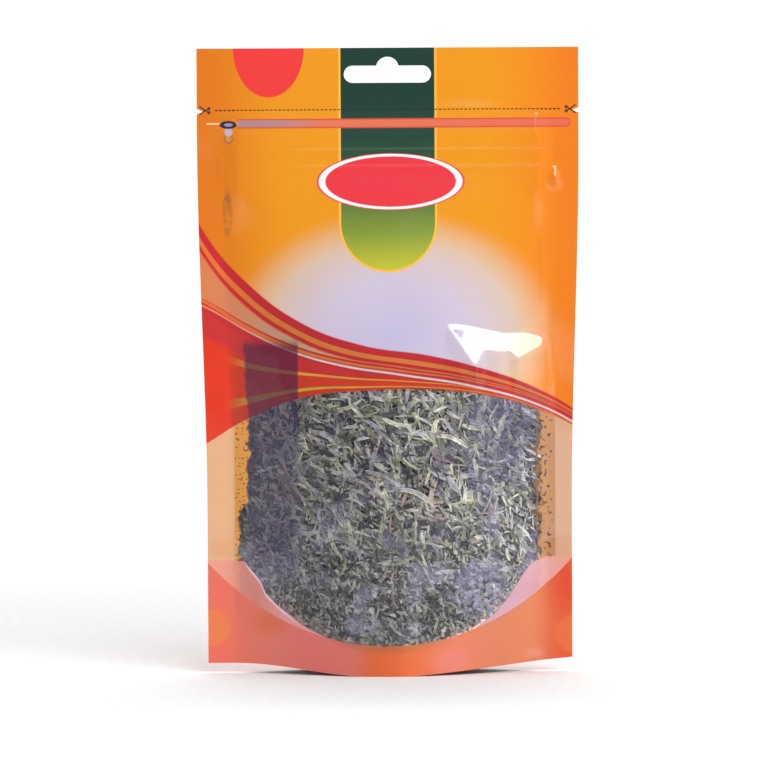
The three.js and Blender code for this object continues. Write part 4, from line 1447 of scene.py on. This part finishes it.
def ink_shape(name, pairs, closed, material):
    points, faces = [], []
    for layer, (pair, ring) in enumerate(zip(pairs, closed)):
        faces += pair_faces(len(pair[0]), len(points), ring)
        points += np.concatenate(edge_lines(pair, -INK_HEIGHT * (1 + LAYER_RISE * layer))).tolist()
    piece = mesh_object(name, points, faces, material)
    repair = bmesh.new()
    repair.from_mesh(piece.data)
    bmesh.ops.recalc_face_normals(repair, faces=repair.faces)
    repair.to_mesh(piece.data)
    repair.free()
    return settle_on_front(piece)


print("ink shapes ready")

# %% Open scissors at the notches
TIP, PIVOT_X, HANDLE = (69.0, 1.55), 66.9, (65.5, 0.75)        # X, and height off the tear line
BLADE_WIDTH, SHANK_WIDTH, HANDLE_RADII = 0.45, 0.4, (0.6, 0.25)


def scissors_mark(name, side):
    pairs = []
    for turn in (-1, 1):
        tip, pivot = (side * TIP[0], TEAR_Z + turn * TIP[1]), (side * PIVOT_X, TEAR_Z)
        handle = (side * HANDLE[0], TEAR_Z - turn * HANDLE[1])
        pairs += [flat_stroke(tip, pivot, BLADE_WIDTH), flat_stroke(pivot, handle, SHANK_WIDTH),
                  flat_ring(handle, *HANDLE_RADII)]
    return ink_shape(name, pairs, [False, False, True] * 2, black_ink)


cut_marks = [scissors_mark("cut_mark_left", -1), scissors_mark("cut_mark_right", 1)]
print("cut marks:", [mark.name for mark in cut_marks])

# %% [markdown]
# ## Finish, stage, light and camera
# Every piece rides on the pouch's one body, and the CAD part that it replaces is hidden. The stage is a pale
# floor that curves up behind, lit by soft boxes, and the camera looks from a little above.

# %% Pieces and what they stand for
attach(front_film, "root")
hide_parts("front_panel")
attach(back_film, "root")
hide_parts("back_panel")
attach(gusset, "root")
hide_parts("bottom_gusset")
for piece in [*cores, *layers]:
    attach(piece, "root")
    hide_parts("dried_chives")
for piece in (tear_line, *cut_marks):
    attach(piece, "root")
for name in ("zip_strip_front", "zip_strip_back"):
    strip = frame["nodes"][name]
    strip.data.materials.clear()
    strip.data.materials.append(zip_plastic)
print("pieces of chive:", len(cores) + len(layers))

# %% Floor
COVE_RADIUS, COVE_BACK, COVE_FRONT, COVE_HALF, COVE_HEIGHT = 1.2, 2.2, -4.0, 5.0, 6.0     # in metres


def cove(name, material):
    bend = arc((COVE_BACK, COVE_RADIUS), COVE_RADIUS, -90, 0, 25)
    profile = [(COVE_FRONT, 0.0), *bend, (COVE_BACK + COVE_RADIUS, COVE_HEIGHT)]
    points = [(x / MM, y / MM, z / MM) for y, z in profile for x in (-COVE_HALF, COVE_HALF)]
    faces = [(2 * k, 2 * k + 1, 2 * k + 3, 2 * k + 2) for k in range(len(profile) - 1)]
    return smoothed(mesh_object(name, points, faces, material), 80)


paper, tree = new_material("white_backdrop_paper")
place = add(tree, "ShaderNodeTexCoord").outputs["Object"]
cloud = add(tree, "ShaderNodeTexNoise", {"Vector": place, "Scale": 300.0}).outputs[0]
white = add(tree, "ShaderNodeValToRGB", (cloud,), [(0.3, "#F0F0F0"), (0.7, "#F6F6F6")]).outputs[0]
paper_surface = add(tree, "ShaderNodeBsdfPrincipled", {"Base Color": white, "Roughness": 0.9}).outputs[0]
add(tree, "ShaderNodeOutputMaterial", {"Surface": paper_surface})
floor = cove("backdrop", paper)
print("floor faces:", len(floor.data.polygons))

# %% Lights
# Each soft box has a place, a target, a width and height in metres, and a power in watts. The key box is
# placed so that the slope of the heap's fold mirrors it to the camera.
MIDDLE = (0, 0, HEIGHT * MM / 2)
SOFT_BOXES = {
    "key_box": ((0.80, -1.24, 1.00), (0.04, 0, 0.12), (1.7, 0.48), 26),
    "right_front_box": ((1.19, -1.07, 0.26), MIDDLE, (0.6, 1.3), 1.8),
    "left_front_box": ((-1.19, -1.07, 0.26), MIDDLE, (0.6, 1.3), 0.7),
    "right_box": ((1.3, -0.6, 0.25), MIDDLE, (0.7, 1.3), 2.2),
    "left_box": ((-1.35, -0.5, 0.25), MIDDLE, (0.7, 1.3), 4.8),
    "top_box": ((0.0, 0.5, 1.6), MIDDLE, (1.4, 1.0), 8),
    "backdrop_box": ((0.0, 1.2, 2.6), (0, 3.4, 1.0), (4.0, 1.0), 72),
}
WORLD_COLOUR, WORLD_STRENGTH = "#F7F7FA", 0.33


def soft_box(name, place, target, size, power):
    light = bpy.data.lights.new(name, "AREA")
    light.shape, light.size, light.size_y = "RECTANGLE", *size
    light.energy = power
    box = bpy.data.objects.new(name, light)
    box.location = place
    box.rotation_euler = (Vector(target) - Vector(place)).to_track_quat("-Z", "Y").to_euler()
    bpy.context.scene.collection.objects.link(box)


for box_name, facts in SOFT_BOXES.items():
    soft_box(box_name, *facts)
world = bpy.data.worlds.new("studio")
world.use_nodes = True
background = world.node_tree.nodes["Background"].inputs
background[0].default_value = linear(WORLD_COLOUR)
background[1].default_value = WORLD_STRENGTH
bpy.context.scene.world = world
bpy.context.scene.view_settings.view_transform = "Standard"
print("soft boxes:", len(SOFT_BOXES))

# %% Camera
DISTANCE, RISE, ROLL = 2.6, math.radians(3.9), math.radians(0.31)
AIM = Vector((-0.0033, 0.0, 0.1079))
MM_PER_PIXEL, FRAME_PIXELS, SENSOR = 0.3678, 760, 36.0
camera_data = bpy.data.cameras.new("camera")
camera_data.sensor_width = SENSOR
camera_data.lens = SENSOR * DISTANCE / (FRAME_PIXELS * MM_PER_PIXEL * MM)
camera = bpy.data.objects.new("camera", camera_data)
away = Vector((0, -math.cos(RISE), math.sin(RISE)))
camera.location = AIM + away * DISTANCE
upright = away.to_track_quat("Z", "Y").to_matrix()
camera.rotation_euler = (upright @ Matrix.Rotation(-ROLL, 3, "Z")).to_euler()
bpy.context.scene.collection.objects.link(camera)
bpy.context.scene.camera = camera
print(f"lens {camera_data.lens:.1f} mm at {DISTANCE} m")
